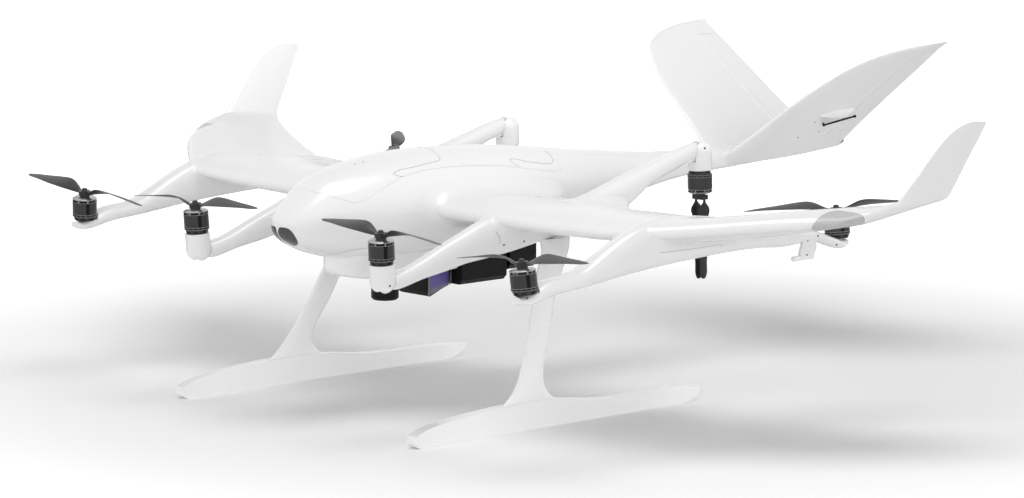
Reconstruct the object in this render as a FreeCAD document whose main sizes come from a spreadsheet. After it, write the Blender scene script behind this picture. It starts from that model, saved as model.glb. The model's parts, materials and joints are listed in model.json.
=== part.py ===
"""Delivery drone: a tilt-rotor aircraft with eight rotors, a swept wing, a V tail and two skids.

Millimetres. +X is the aircraft's own left wing, the nose points along -Y, +Z is up.
The origin lies on the ground, below the middle of the bounding box.
"""
import FreeCAD, Part
import math
import os
import re
import Sketcher

Vec = FreeCAD.Vector
X_AXIS, Y_AXIS, Z_AXIS = Vec(1, 0, 0), Vec(0, 1, 0), Vec(0, 0, 1)

# Driving dimensions: alias, value in millimetres or degrees, what it is
DIMENSIONS = [
    ("skin", 5.0, "wall of the fuselage shell and of its lids"),
    ("seam_gap", 0.4, "gap round a lid, a window or a moulded part"),
    ("nose_y", -798.0, "front of the nose"),
    ("tail_cap_length", 22.0, "length of the dark tail cap"),
    ("lid_front_y", -733.0, "front edge of the front lid"),
    ("lid_joint_y", -394.0, "joint of the front lid and the rear lid"),
    ("lid_rear_y", -130.0, "rear edge of the rear lid"),
    ("battery_gap", 13.0, "front wall of the battery bay to the battery block"),
    ("bay_rear_y", -150.0, "rear wall of the equipment bay"),
    ("bay_floor_z", 336.0, "floor of both bays"),
    ("lid_lift", 120.0, "how far a lid is drawn when it is lifted off"),
    ("battery_length", 190.0, "battery block"),
    ("battery_width", 110.0, "battery block"),
    ("battery_height", 72.0, "battery block"),
    ("battery_y", -560.0, "middle of the battery block"),
    ("window_x", 16.8, "middle of each of the two camera windows"),
    ("window_z", 365.0, "middle of the camera windows"),
    ("window_width", 31.0, "camera window"),
    ("window_height", 38.0, "camera window"),
    ("window_depth", 6.0, "thickness of a camera window"),
    ("tray_top_z", 330.0, "top of the belly tray, inside the fuselage"),
    ("can_diameter", 54.0, "round sensor can below the belly"),
    ("can_y", -524.0, "round sensor can"),
    ("can_bottom_z", 216.0, "round sensor can"),
    ("can_edge", 4.0, "bevel round its lower edge"),
    ("module_width", 86.0, "front cargo module"),
    ("module_front_y", -449.0, "front cargo module"),
    ("module_rear_y", -394.0, "front cargo module"),
    ("module_front_z", 217.5, "its lower edge at the front"),
    ("module_rear_z", 237.0, "its lower edge at the rear"),
    ("cargo_width", 150.0, "cargo boxes"),
    ("cargo_front_y", -388.0, "main cargo box"),
    ("cargo_rear_y", -268.0, "main cargo box"),
    ("cargo_bottom_z", 238.0, "main cargo box"),
    ("cargo_top_z", 324.0, "top of both cargo boxes, inside the belly"),
    ("cargo_edge", 9.0, "bevel along the lower edges of the cargo boxes"),
    ("cargo_gap", 9.0, "gap between the two cargo boxes"),
    ("rear_box_length", 72.0, "rear cargo box"),
    ("rear_box_bottom_z", 256.0, "rear cargo box"),
    ("front_inner_x", 271.0, "front inner rotors, left and right of the middle"),
    ("rear_inner_x", 279.0, "rear inner rotors, left and right of the middle"),
    ("outer_x", 646.0, "outer rotors, left and right of the middle"),
    ("front_inner_y", -771.0, "front inner rotor shafts"),
    ("front_outer_y", -762.0, "front outer rotor shafts"),
    ("rear_inner_y", 66.0, "rear inner rotor shafts"),
    ("rear_outer_y", 72.0, "rear outer rotor shafts"),
    ("front_pivot_z", 309.0, "tilt axis of the front pods"),
    ("rear_pivot_z", 483.5, "tilt axis of the rear pods"),
    ("outer_front_seat_z", 327.5, "motor seat of the front outer rotors"),
    ("outer_rear_seat_z", 350.0, "motor seat of the rear outer rotors"),
    ("pod_diameter", 49.0, "tilt pod"),
    ("front_pod_reach", 32.0, "tilt axis to the motor seat of a front pod"),
    ("rear_pod_reach", 35.0, "tilt axis to the motor seat of a rear pod"),
    ("tongue_thick", 18.0, "tongue of an arm, between the pod's cheeks"),
    ("tongue_radius", 15.0, "round end of the tongue"),
    ("tongue_half_height", 11.0, "tongue between its round end and the arm"),
    ("pivot_pin_diameter", 8.0, "pin of the tilt axis"),
    ("pin_clearance", 0.08, "radial clearance of a pin or shaft in its bore"),
    ("fork_gap", 1.5, "gap between tongue and cheek"),
    ("motor_diameter", 49.0, "motor"),
    ("motor_base_height", 8.0, "fixed lower ring of a motor"),
    ("motor_gap", 0.6, "running gap between base and bell"),
    ("bell_height", 38.0, "turning bell of a motor"),
    ("bell_wall", 3.0, "wall of the bell round the stator"),
    ("bell_window_height", 4.6, "cooling windows below the bell's top plate"),
    ("bell_plate", 3.4, "top plate of the bell"),
    ("vent_width", 9.0, "cooling slots in the motor base"),
    ("vent_height", 3.2, "cooling slots in the motor base"),
    ("boss_diameter", 20.0, "boss that carries the propeller on the bell"),
    ("boss_height", 4.0, "boss that carries the propeller on the bell"),
    ("shaft_diameter", 8.0, "motor shaft"),
    ("propeller_diameter", 355.6, "14 inch propeller"),
    ("propeller_hub_diameter", 24.0, "propeller hub"),
    ("propeller_hub_height", 9.0, "propeller hub"),
    ("nut_diameter", 13.0, "cap nut on a propeller hub"),
    ("nut_height", 5.0, "cap nut on a propeller hub"),
    ("fold_hub_diameter", 18.0, "hub of a folding propeller"),
    ("outer_lean_in", 5.2, "inboard lean of the outer rotor shafts"),
    ("front_outer_lean", 4.1, "forward lean of the front outer rotor shafts"),
    ("rear_outer_lean", 0.0, "forward lean of the rear outer rotor shafts"),
    ("front_inner_lean", 3.9, "forward lean of the front inner rotor shafts"),
    ("rear_inner_lean", 2.2, "forward lean of the rear inner rotor shafts"),
    ("front_inner_lean_out", 1.2, "outboard lean of the front inner rotor shafts"),
    ("blade_pin_offset", 11.0, "fold pins of the rear inner blades, from the shaft"),
    ("blade_pin_diameter", 3.0, "fold pins"),
    ("fold_ear", 4.2, "round end of a fold hub's ear or of a folding blade, about its pin"),
    ("fold_slot", 6.4, "slot of the fold hub between its ears"),
    ("folded_blade_length", 166.0, "fold pin to blade tip"),
    ("aileron_arm_gap", 48.0, "inner end of an aileron, from the inner rotors' plane"),
    ("aileron_boom_gap", 54.0, "outer end of an aileron, from the outer rotors' plane"),
    ("aileron_hinge_y", -202.0, "hinge axis of the ailerons"),
    ("aileron_hinge_z", 389.6, "hinge axis of the ailerons, inner end"),
    ("aileron_hinge_rise", 6.6, "how much higher its outer end is"),
    ("ruddervator_hinge_y", 668.0, "hinge axis of the ruddervators"),
    ("ruddervator_root", 97.0, "inner end of a ruddervator, along the fin from the middle"),
    ("ruddervator_tip", 388.0, "outer end of a ruddervator, along the fin from the middle"),
    ("surface_gap", 2.0, "gap round a control surface"),
    ("hinge_pin_diameter", 4.0, "pins at the two ends of a control surface"),
    ("hinge_pin_reach", 12.0, "how far a hinge pin enters the control surface"),
    ("fin_angle", 36.9, "dihedral angle of the V tail"),
    ("fin_root_z", 405.0, "where the two fins' middle planes meet"),
    ("arm_gap", 1.2, "gap between an arm and its pod"),
    ("skid_x", 343.0, "middle of a skid"),
    ("skid_width", 24.0, "width of a skid"),
    ("leg_width", 22.0, "width of a leg"),
    ("lens_depth", 58.0, "position light in a wing's leading edge, from front to rear"),
    ("view_slope", 8.4, "how far the edge of a position light falls to the rear, in degrees"),
    ("probe_x", 662.0, "air-speed probe below the left outer boom"),
    ("probe_thick", 7.0, "bracket of the probe"),
    ("probe_tube_diameter", 10.0, "tube of the probe"),
    ("push_rod_diameter", 4.0, "push rods of the ruddervators"),
    ("rod_end_diameter", 6.5, "ball ends of the push rods"),
    ("rod_drop", 15.0, "push rod below the fin's middle plane"),
]


def make_sheet(doc):
    """Put the driving dimensions in a spreadsheet."""
    sheet = doc.addObject("Spreadsheet::Sheet", "Sizes")
    for row, (alias, value, note) in enumerate(DIMENSIONS, start=1):
        sheet.set("A%d" % row, alias)
        sheet.set("B%d" % row, str(value))
        sheet.set("C%d" % row, note)
        sheet.setAlias("B%d" % row, alias)
    doc.recompute()
    return sheet


class Sizes:
    """Reads the sheet's values by name."""

    def __init__(self, sheet):
        self.sheet = sheet

    def __getattr__(self, alias):
        return float(self.sheet.get(alias))


ALIASES = {alias for alias, value, note in DIMENSIONS}
PLACES = {"x": "Placement.Base.x", "y": "Placement.Base.y", "z": "Placement.Base.z"}


def bound(formula):
    """A formula of the sheet's names, written as the document needs it."""
    def full_name(match):
        word = match.group()
        return "Sizes." + word if word in ALIASES else word
    return re.sub(r"[a-z_]+", full_name, formula)


class Model:
    """The document and its sizes; each method adds one object whose sizes follow the sheet."""

    def __init__(self):
        self.doc = FreeCAD.newDocument("delivery_drone")
        self.size = Sizes(make_sheet(self.doc))
        self.nodes = []

    def add(self, kind, name, turn=None, **sizes):
        item = self.doc.addObject(kind, name)
        if turn:
            item.Placement = FreeCAD.Placement(Vec(0, 0, 0), turn)
        for key, formula in sizes.items():
            item.setExpression(PLACES.get(key, key), bound(formula))
        return item

    def cylinder(self, name, radius, height, turn=None, **place):
        return self.add("Part::Cylinder", name, turn, Radius=radius, Height=height, **place)

    def box(self, name, length, width, height, **place):
        return self.add("Part::Box", name, None, Length=length, Width=width, Height=height, **place)

    def cut(self, name, base, tool):
        item = self.doc.addObject("Part::Cut", name)
        item.Base, item.Tool, item.Refine = base, tool, True
        return item

    def fuse(self, name, pieces):
        item = self.doc.addObject("Part::MultiFuse", name)
        item.Shapes, item.Refine = pieces, True
        return item

    def form(self, name, shape):
        """A helper body whose shape is worked out from the sheet."""
        item = self.doc.addObject("Part::Feature", name)
        item.Shape = shape
        item.Placement = shape.Placement
        return item

    def keep(self, item, name, place=None):
        """Make the object a sub-part with its own name, in its place."""
        item.Label = name
        if place:
            item.Placement = place
        self.nodes.append(item)
        return item

    def plate(self, name, role, outline, thickness):
        """A body padded on both sides of an origin plane; the outline is a list of formula pairs."""
        body = self.doc.addObject("PartDesign::Body", name)
        sketch = body.newObject("Sketcher::SketchObject", name + "_outline")
        plane = [item for item in body.Origin.OriginFeatures if item.Role == role][0]
        sketch.AttachmentSupport = [(plane, "")]
        sketch.MapMode = "FlatFace"
        count = len(outline)
        for index in range(count):
            turn = 2 * math.pi / count
            start = Vec(math.cos(turn * index), math.sin(turn * index), 0)
            end = Vec(math.cos(turn * (index + 1)), math.sin(turn * (index + 1)), 0)
            sketch.addGeometry(Part.LineSegment(start * 100, end * 100))
        for index in range(count):
            sketch.addConstraint(Sketcher.Constraint("Coincident", index, 2, (index + 1) % count, 1))
        for index, pair in enumerate(outline):
            for kind, formula in zip(("DistanceX", "DistanceY"), pair):
                number = sketch.addConstraint(Sketcher.Constraint(kind, -1, 1, index, 1, 1.0))
                sketch.setExpression("Constraints[%d]" % number, bound(formula))
        pad = body.newObject("PartDesign::Pad", name + "_pad")
        pad.Profile = sketch
        pad.Midplane = True
        pad.setExpression("Length", bound(thickness))
        return body


# Outlines and solids

def bezier(start, start_control, end_control, end):
    curve = Part.BezierCurve()
    curve.setPoles([start, start_control, end_control, end])
    return curve.toShape()


def oval(points, fullness):
    """A closed smooth section through right, top, left and bottom; fullness 0.707 makes an ellipse."""
    middle = (points[1] + points[3]) * 0.5
    reach = (8 * fullness - 4) / 3
    edges = []
    for start, end in zip(points, points[1:] + points[:1]):
        edges.append(bezier(start, start + (end - middle) * reach, end + (start - middle) * reach, end))
    return Part.Wire(edges)


def upright_oval(x, y, half_width, z_top, z_bottom, fullness=0.725):
    """An oval section across Y."""
    z_mid = (z_top + z_bottom) / 2
    points = [Vec(x + half_width, y, z_mid), Vec(x, y, z_top), Vec(x - half_width, y, z_mid), Vec(x, y, z_bottom)]
    return oval(points, fullness)


def level_oval(x, y_front, y_rear, z, half_width, fullness=0.735):
    """An oval section across Z."""
    y_mid = (y_front + y_rear) / 2
    points = [Vec(x + half_width, y_mid, z), Vec(x, y_rear, z), Vec(x - half_width, y_mid, z), Vec(x, y_front, z)]
    return oval(points, fullness)


def airfoil(lead, trail, up, thickness, camber=0.10):
    """A wing section of three edges: upper surface, blunt trailing edge and lower surface."""
    chord = trail - lead
    up = up - chord * (up.dot(chord) / chord.dot(chord))
    up.normalize()
    half_edge = up * 0.8

    def surface(height, edge):
        full = up * (thickness * height)
        return [lead, lead + full * 1.11, lead + chord * 0.35 + full * 1.53, trail + edge]

    lower = surface(camber - 0.5, half_edge * -1)
    return Part.Wire([
        bezier(*surface(camber + 0.5, half_edge)),
        Part.LineSegment(trail + half_edge, trail - half_edge).toShape(),
        bezier(*reversed(lower)),
    ])


def loft(wires, ruled=False):
    return Part.makeLoft(wires, True, ruled)


def box(low, high):
    return Part.makeBox(high[0] - low[0], high[1] - low[1], high[2] - low[2], Vec(*low))


def rod(start, end, diameter):
    return Part.makeCylinder(diameter / 2, (end - start).Length, start, end - start)


def prism(points, direction):
    """A straight prism on a closed outline of points."""
    wire = Part.makePolygon(points + [points[0]])
    return Part.Face(wire).extrude(direction)


def mirrored(shape):
    """The same shape on the other side of the middle plane."""
    return shape.mirror(Vec(0, 0, 0), X_AXIS)


def largest(shape):
    """The largest solid of a shape that a cut has split."""
    return max(shape.Solids, key=lambda solid: solid.Volume)


def fused(shapes):
    return shapes[0].multiFuse(shapes[1:]).removeSplitter()


def turned(shape, centre, axis, degrees):
    copy = shape.copy()
    copy.rotate(centre, axis, degrees)
    return copy


# Fuselage

# Sections of the fuselage: y, half width, top z, bottom z
FUSELAGE = [
    (-798, 10, 394, 376), (-790, 28, 406, 362), (-772, 46, 421, 349), (-740, 65, 446, 333),
    (-692, 84, 475, 318), (-622, 102, 492, 306), (-522, 114, 504, 299), (-402, 116, 506, 297),
    (-272, 112, 500, 300), (-122, 97, 484, 319), (28, 70, 466, 345), (178, 44, 450, 372),
    (298, 30, 444, 388), (528, 22, 438, 400), (778, 13, 434, 413),
]

# The wavy seam between the fuselage shell and the lids, seen from the side: y, z
LID_SEAM = [
    (-760, 449), (-733, 449), (-704, 437), (-676, 427), (-652, 432), (-612, 449), (-562, 467),
    (-506, 475), (-441, 477), (-365, 474), (-288, 467), (-186, 450), (-130, 441),
]

# Sections of the belly tray: y, half width, bottom z
TRAY = [
    (-664, 14, 290), (-653, 34, 279), (-633, 50, 272), (-597, 60, 267), (-553, 64, 264),
    (-420, 66, 264), (-282, 66, 264),
]

# Sections of an outer boom: y, half width, top z, bottom z
OUTER_BOOM = [
    (-786, 14, 325, 312), (-762, 21, 328, 308), (-725, 22, 345, 314), (-681, 23, 352, 321),
    (-588, 24, 379, 329), (-481, 26, 424, 340), (-322, 26, 430, 350), (-162, 25, 410, 353),
    (-60, 24, 388, 350), (30, 23, 362, 342), (68, 21, 350, 331), (89, 14, 348, 337),
]

# Sections of a front inner arm: y, half width, top z, bottom z
FRONT_ARM = [
    (-757, 13, 319, 292), (-735, 15, 323, 290), (-696, 17, 334, 298), (-647, 18, 353, 307),
    (-577, 20, 379, 319), (-522, 22, 399, 325), (-440, 24, 412, 334), (-340, 24, 412, 350), (-250, 18, 408, 366),
]

# Sections of a rear inner arm: y, half width, top z, bottom z
REAR_ARM = [
    (-300, 20, 418, 380), (-215, 21, 436, 384), (-150, 22, 455, 392), (-86, 21, 471, 430),
    (-20, 18, 489, 452), (30, 15, 501, 468), (50, 13, 504, 473),
]

# Sections of the left wing: leading edge x, y, z, trailing edge x, y, z, thickness, lean of "up"
# from +Z, and whether one of the lofted spans ends there: root, boom, bend, winglet foot and tip
WING = [
    (60, -505, 398, 60, -142, 386, 52, 0, True), (275, -500, 398, 275, -140, 386, 52, 0, False),
    (470, -495, 400, 470, -136, 388, 50, 2, False), (646, -490, 406, 646, -126, 396, 48, 4, True),
    (780, -387, 422, 780, -64, 408, 44, 8, False), (870, -312, 432, 865, -41, 432, 40, 18, False),
    (928, -250, 438, 920, -18, 449, 34, 35, True), (958, -195, 454, 950, 4, 457, 24, 58, False),
    (972, -130, 468, 966, 18, 466, 17, 75, True), (979, -82, 515, 971, 30, 486, 12, 80, False),
    (985, -45, 555, 976, 52, 523, 9, 82, False), (989, -6, 588, 983, 77, 565, 6, 82, False),
    (990, 64, 608, 989, 98, 604, 2.5, 82, True),
]

# Sections of a fin: distance along the fin from the middle, leading edge y, trailing edge y, thickness
FIN = [
    (20, 405, 770, 30), (70, 418, 760, 27), (160, 434, 749, 22), (250, 449, 742, 18),
    (320, 476, 738, 14), (372, 508, 734, 10), (410, 568, 731, 7), (430, 646, 733, 4), (438, 716, 736, 1.6),
]

# Sections of a blade: radius, chord, thickness, pitch in degrees, height, sweep of the middle line
BLADE = [
    (6, 15, 7.0, 6, 0.0, 0.0), (24, 17, 5.5, 24, 3.0, 0.5), (46, 30, 3.6, 27, 10.0, -1.5),
    (72, 33, 2.6, 22, 11.5, -2.5), (110, 27, 2.1, 16, 10.0, -2.0), (150, 18, 1.6, 12, 8.0, 0.5),
    (172, 10, 1.3, 10, 6.5, 2.0), (177.8, 4, 1.0, 10, 6.3, 3.0),
]

# Sections of a folding blade: distance from its pin, chord, thickness, pitch in degrees, height, sweep
FOLDING_BLADE = [
    (4, 5.4, 5.4, 2, 0.0, 0.0), (8.5, 5.6, 5.2, 4, 0.0, 0.0), (17, 18, 4.4, 14, 0.0, 0.0), (26, 25, 3.6, 18, 0.5, -1.0),
    (60, 27, 2.8, 16, 0.0, -2.0), (110, 24, 2.2, 12, -3.0, -1.0), (148, 18, 1.7, 10, -5.5, 1.0),
    (162, 13, 1.3, 9, -6.5, 2.0), (166, 7, 1.0, 9, -6.7, 2.5),
]

# Top line of a skid: y, z
SKID_TOP = [
    (-762, 24), (-737, 33), (-684, 42), (-577, 50), (-372, 48), (-298, 39), (-60, 31), (-8, 27),
]

# Sections of a leg from the skid up: share of the way from the skid's plane to the arm's plane,
# front y, rear y, z, what is added to the half width
LEG = [
    (0.00, -578, -342, 34, -1.0), (0.00, -516, -408, 62, -0.5), (0.07, -484, -421, 96, 0.0),
    (0.22, -459, -404, 140, 0.0), (0.36, -438, -382, 185, 0.0), (0.52, -415, -360, 238, 0.0),
    (0.74, -385, -320, 300, 2.0), (0.91, -372, -296, 350, 6.0),
]

# Outline of a position light in the leading edge: distance along the edge from LENS_FOOT, z
LENS_FOOT = (899.0, -281.0)
LENS_ALONG = (0.683, 0.730)
LENS = [(0, 431), (8, 443), (26, 456), (50, 462), (74, 459), (96, 449), (98, 440), (70, 432), (30, 426), (6, 426)]

# Outline of the air-speed probe's bracket: y, z
PROBE_BRACKET = [(-42, 372), (-55, 331), (-28, 322), (-18, 323), (-9, 341), (-9, 372)]

# Ends of a push rod below a fin: distance along the fin, y
ROD_ENDS = [(152, 598), (177, 673)]

# Sections of a servo cover below a fin: y, distance along the fin, half width, depth below the middle plane
SERVO_COVER = [(560, 186, 3, 11), (590, 189, 11, 19), (624, 193, 15, 22), (644, 194, 12, 18), (658, 195, 4, 9)]


def fuselage_skin(inset=0.0):
    """The fuselage's outer body, or the body inside a wall of the given thickness."""
    wires = []
    for y, half_width, top, bottom in FUSELAGE:
        height = (top - bottom) / 2 - inset
        if half_width - inset > 6 and height > 6:
            wires.append(upright_oval(0, y, half_width - inset, top - inset, bottom + inset))
    return loft(wires)


def seam_z(y):
    for (y0, z0), (y1, z1) in zip(LID_SEAM, LID_SEAM[1:]):
        if y0 <= y <= y1:
            return z0 + (z1 - z0) * (y - y0) / (y1 - y0)
    return LID_SEAM[-1][1]


def above_seam(y_front, y_rear, raised=0.0):
    """Everything above the wavy seam between two cross planes."""
    points = [(y_front, seam_z(y_front) + raised)]
    points += [(y, z + raised) for y, z in LID_SEAM if y_front < y < y_rear]
    points += [(y_rear, seam_z(y_rear) + raised)]
    reach = 1.5 * max(row[1] for row in FUSELAGE)
    high = 1.1 * max(row[2] for row in FUSELAGE)
    outline = [Vec(-reach, y, z) for y, z in points] + [Vec(-reach, y_rear, high), Vec(-reach, y_front, high)]
    return prism(outline, Vec(2 * reach, 0, 0))


def window_tool(size, grow):
    """A plug along Y with the outline of the left camera window."""
    wide, high = size.window_width / 2 + grow, size.window_height / 2 + grow
    x, z = size.window_x, size.window_z
    start = FUSELAGE[0][0] - size.window_height
    wire = oval([Vec(x + wide, start, z + high * 0.15), Vec(x - wide * 0.4, start, z + high),
                 Vec(x - wide, start, z + high * 0.1), Vec(x - wide * 0.4, start, z - high)], 0.735)
    return Part.Face(wire).extrude(Vec(0, 3 * size.window_height, 0))


def fuselage_pieces(model):
    size = model.size
    skin = fuselage_skin()
    inner = fuselage_skin(size.skin)
    gap = size.seam_gap
    bay_front = size.battery_y - size.battery_length / 2 - size.battery_gap
    wide = max(row[1] for row in FUSELAGE)
    high = max(row[2] for row in FUSELAGE)
    bays = inner.common(box((-wide, bay_front, size.bay_floor_z), (wide, size.bay_rear_y, high)))
    shell = skin.cut(bays).cut(above_seam(size.lid_front_y, size.lid_rear_y))
    core = fuselage_skin(size.window_depth)
    for side, hand in (("left", 1), ("right", -1)):
        plug, pocket = window_tool(size, 0.0).cut(core), window_tool(size, gap).cut(core)
        if hand < 0:
            plug, pocket = mirrored(plug), mirrored(pocket)
        shell = shell.cut(pocket)
        window = largest(skin.common(plug))
        model.keep(model.form("window_" + side, window), "nose_window_" + side)
    model.keep(model.form("shell", largest(shell)), "fuselage_shell")
    hollow = inner.common(box((-wide, bay_front, 0), (wide, size.bay_rear_y, high)))
    lid = skin.common(above_seam(size.lid_front_y + gap, size.lid_joint_y - gap / 2, gap)).cut(hollow)
    model.keep(model.form("lid_front", largest(lid)), "front_lid")
    lid = skin.common(above_seam(size.lid_joint_y + gap / 2, size.lid_rear_y - gap, gap)).cut(hollow)
    model.keep(model.form("lid_rear", largest(lid)), "rear_lid")
    battery = model.box("battery", "battery_width", "battery_length", "battery_height",
                        x="-battery_width / 2", y="battery_y - battery_length / 2", z="bay_floor_z")
    model.keep(battery, "battery_block")
    y, half_width, top, bottom = FUSELAGE[-1]
    end = (half_width * 0.55, top - 2, bottom + 6)
    cap = loft([upright_oval(0, y, half_width, top, bottom), upright_oval(0, y + size.tail_cap_length, *end)], True)
    model.keep(model.form("cap", cap), "tail_cap")
    return skin


def belly_pieces(model, skin):
    size = model.size
    tray_bottom = min(row[2] for row in TRAY)
    widest = max(row[1] for row in TRAY)
    tray = loft([upright_oval(0, y, half_width, size.tray_top_z, bottom, 0.86) for y, half_width, bottom in TRAY])
    room = box((-2 * widest, TRAY[0][0], tray_bottom), (2 * widest, TRAY[-1][0], size.tray_top_z))
    tray = largest(tray.common(room).cut(skin))
    model.keep(model.form("tray", tray), "belly_tray")

    drum = model.cylinder("can_drum", "can_diameter / 2", "%s - can_bottom_z - can_edge" % tray_bottom,
                          y="can_y", z="can_bottom_z + can_edge")
    edge = model.add("Part::Cone", "can_rim", Radius1="can_diameter / 2 - can_edge", Radius2="can_diameter / 2",
                     Height="can_edge", y="can_y", z="can_bottom_z")
    model.keep(model.fuse("can", [drum, edge]), "sensor_can")

    top = str(tray_bottom)
    module = model.plate("module", "YZ_Plane", [
        ("module_front_y", top), ("module_front_y", "module_front_z + cargo_edge"),
        ("module_front_y + cargo_edge / 2", "module_front_z"), ("module_rear_y", "module_rear_z"),
        ("module_rear_y", top)], "module_width")
    model.keep(module, "cargo_module")

    half, low_half = "cargo_width / 2", "cargo_width / 2 - cargo_edge"
    boxes = []
    for name, low, front, length in (
            ("main_box", "cargo_bottom_z", size.cargo_front_y, size.cargo_rear_y - size.cargo_front_y),
            ("rear_box", "rear_box_bottom_z", size.cargo_rear_y + size.cargo_gap, size.rear_box_length)):
        body = model.plate(name, "XZ_Plane", [
            (half, "cargo_top_z"), (half, low + " + cargo_edge"), (low_half, low),
            ("-1 * (%s)" % low_half, low), ("-1 * " + half, low + " + cargo_edge"), ("-1 * " + half, "cargo_top_z")],
            "rear_box_length" if name == "rear_box" else "cargo_rear_y - cargo_front_y")
        body.Placement = FreeCAD.Placement(Vec(0, front + length / 2, 0), FreeCAD.Rotation())
        boxes.append(body)
    hull = model.form("belly_form", skin.fuse(tray))
    trimmed = [model.cut(body.Name + "_trimmed", body, hull) for body in boxes]
    pair = model.doc.addObject("Part::Compound", "box_pair")
    pair.Links = trimmed
    model.keep(pair, "cargo_boxes")


def boom(table, x):
    return loft([upright_oval(x, y, half_width, top, bottom, 0.75) for y, half_width, top, bottom in table])


def wing_solid(size):
    """The left wing; its span follows the outer rotors' place."""
    ends = [index for index, row in enumerate(WING) if row[-1]]
    stretch = size.outer_x / WING[ends[1]][0]
    wires = []
    for lx, ly, lz, tx, ty, tz, thickness, lean_angle, span_end in WING:
        angle = math.radians(lean_angle)
        up = Vec(-math.sin(angle), 0, math.cos(angle))
        wires.append(airfoil(Vec(lx * stretch, ly, lz), Vec(tx * stretch, ty, tz), up, thickness))
    return fused([loft(wires[first:last + 1]) for first, last in zip(ends, ends[1:])])


def hinged_surface(size, parent, axis_start, axis_end, half_thick, reach):
    """Split a control surface off a wing or fin: its nose is round about the hinge axis."""
    gap = size.surface_gap
    axis = axis_end - axis_start
    length = axis.Length
    unit = Vec(axis)
    unit.normalize()
    aft = Vec(0, 1, 0)
    up = unit.cross(aft)
    up.normalize()

    def slab(extra):
        half = reach / 3
        corner = axis_start - unit * extra - up * half
        points = [corner, corner + unit * (length + 2 * extra)]
        points += [points[1] + up * 2 * half, points[0] + up * 2 * half]
        return prism(points, aft * reach)

    def cone(extra, grow):
        start = axis_start - unit * extra
        return Part.makeCone(half_thick[0] + grow, half_thick[1] + grow, length + 2 * extra, start, unit)

    surface = largest(parent.common(slab(0)).fuse(cone(0, 0)).removeSplitter())
    remaining = parent.cut(slab(gap)).cut(cone(gap, gap))
    pins, bores = [], []
    for end, inward in ((axis_start, unit), (axis_end, unit * -1)):
        outside = end - inward * size.hinge_pin_reach
        inside = end + inward * size.hinge_pin_reach
        pins.append(rod(outside, inside, size.hinge_pin_diameter))
        bores.append(rod(outside, inside + inward * gap, size.hinge_pin_diameter + 2 * size.pin_clearance))
    return remaining.fuse(pins), surface.cut(bores)


def fin_frame(size):
    """Root point, direction along the fin and direction off its upper face."""
    angle = math.radians(size.fin_angle)
    root = Vec(0, 0, size.fin_root_z)
    return root, Vec(math.cos(angle), 0, math.sin(angle)), Vec(-math.sin(angle), 0, math.cos(angle))


def fin_solid(size):
    root, along, up = fin_frame(size)
    wires = []
    for distance, lead, trail, thickness in FIN:
        base = root + along * distance
        wires.append(airfoil(base + Vec(0, lead, 0), base + Vec(0, trail, 0), up, thickness, 0.0))
    return loft(wires)


def servo_cover(size):
    """A drop-shaped cover on the left fin's lower face, before it is trimmed by the fin."""
    wires = [upright_oval(along, y, half_width, 0, -depth) for y, along, half_width, depth in SERVO_COVER]
    turn = FreeCAD.Rotation(Y_AXIS, -size.fin_angle)
    return moved(loft(wires), FreeCAD.Placement(Vec(0, 0, size.fin_root_z), turn))


def position_light(wing, size, grow):
    """A light set flush in the leading edge, or its pocket with room all round."""
    foot_x, foot_y = LENS_FOOT
    along = Vec(LENS_ALONG[0], LENS_ALONG[1], 0)
    inward = Vec(-along.y, along.x, -math.tan(math.radians(size.view_slope)))
    middle = Vec(sum(row[0] for row in LENS) / len(LENS), sum(row[1] for row in LENS) / len(LENS), 0)
    points = []
    for distance, z in LENS:
        out = Vec(distance, z, 0) - middle
        place = middle + out * (1 + grow / out.Length)
        points.append(Vec(foot_x, foot_y, place.y) + along * place.x - inward * 30)
    curve = Part.BSplineCurve()
    curve.interpolate(points, PeriodicFlag=True)
    outline = Part.Face(Part.Wire([curve.toShape()]))
    plug = outline.extrude(inward * (30 + size.lens_depth + grow))
    return plug


def crossed_boxes(length, width, low, high, count):
    """Bars through the Z axis, evenly turned: they cut two openings each."""
    bars = []
    for index in range(count):
        bar = box((-length / 2, -width / 2, low), (length / 2, width / 2, high))
        bars.append(turned(bar, Vec(0, 0, 0), Z_AXIS, 180 / count * index))
    return fused(bars)


def motor_base(model, tag):
    """Mounting cone with cooling slots, and the stator that stands in the bell; the seat is at z = 0."""
    size = model.size
    seat = model.add("Part::Cone", "seat_" + tag, Radius1="motor_diameter / 2 - 4", Radius2="motor_diameter / 2 - 1",
                     Height="motor_base_height")
    low = (size.motor_base_height - size.vent_height) / 2
    vents = model.form("vents_" + tag, crossed_boxes(
        2 * size.motor_diameter, size.vent_width, low, low + size.vent_height, 4))
    ring = model.cut("ring_" + tag, seat, vents)
    core = model.cylinder("core_" + tag, "motor_diameter / 3", "motor_base_height")
    stator = model.cylinder("stator_" + tag, "motor_diameter / 2 - bell_wall - motor_gap",
                            "motor_gap + bell_height - 2 * bell_window_height - bell_plate",
                            z="motor_base_height - motor_gap")
    solid = model.fuse("base_" + tag, [ring, core, stator])
    bore = model.cylinder("bore_" + tag, "shaft_diameter / 2 + pin_clearance", "motor_base_height + bell_height")
    return model.cut("motor_" + tag, solid, bore)


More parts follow.
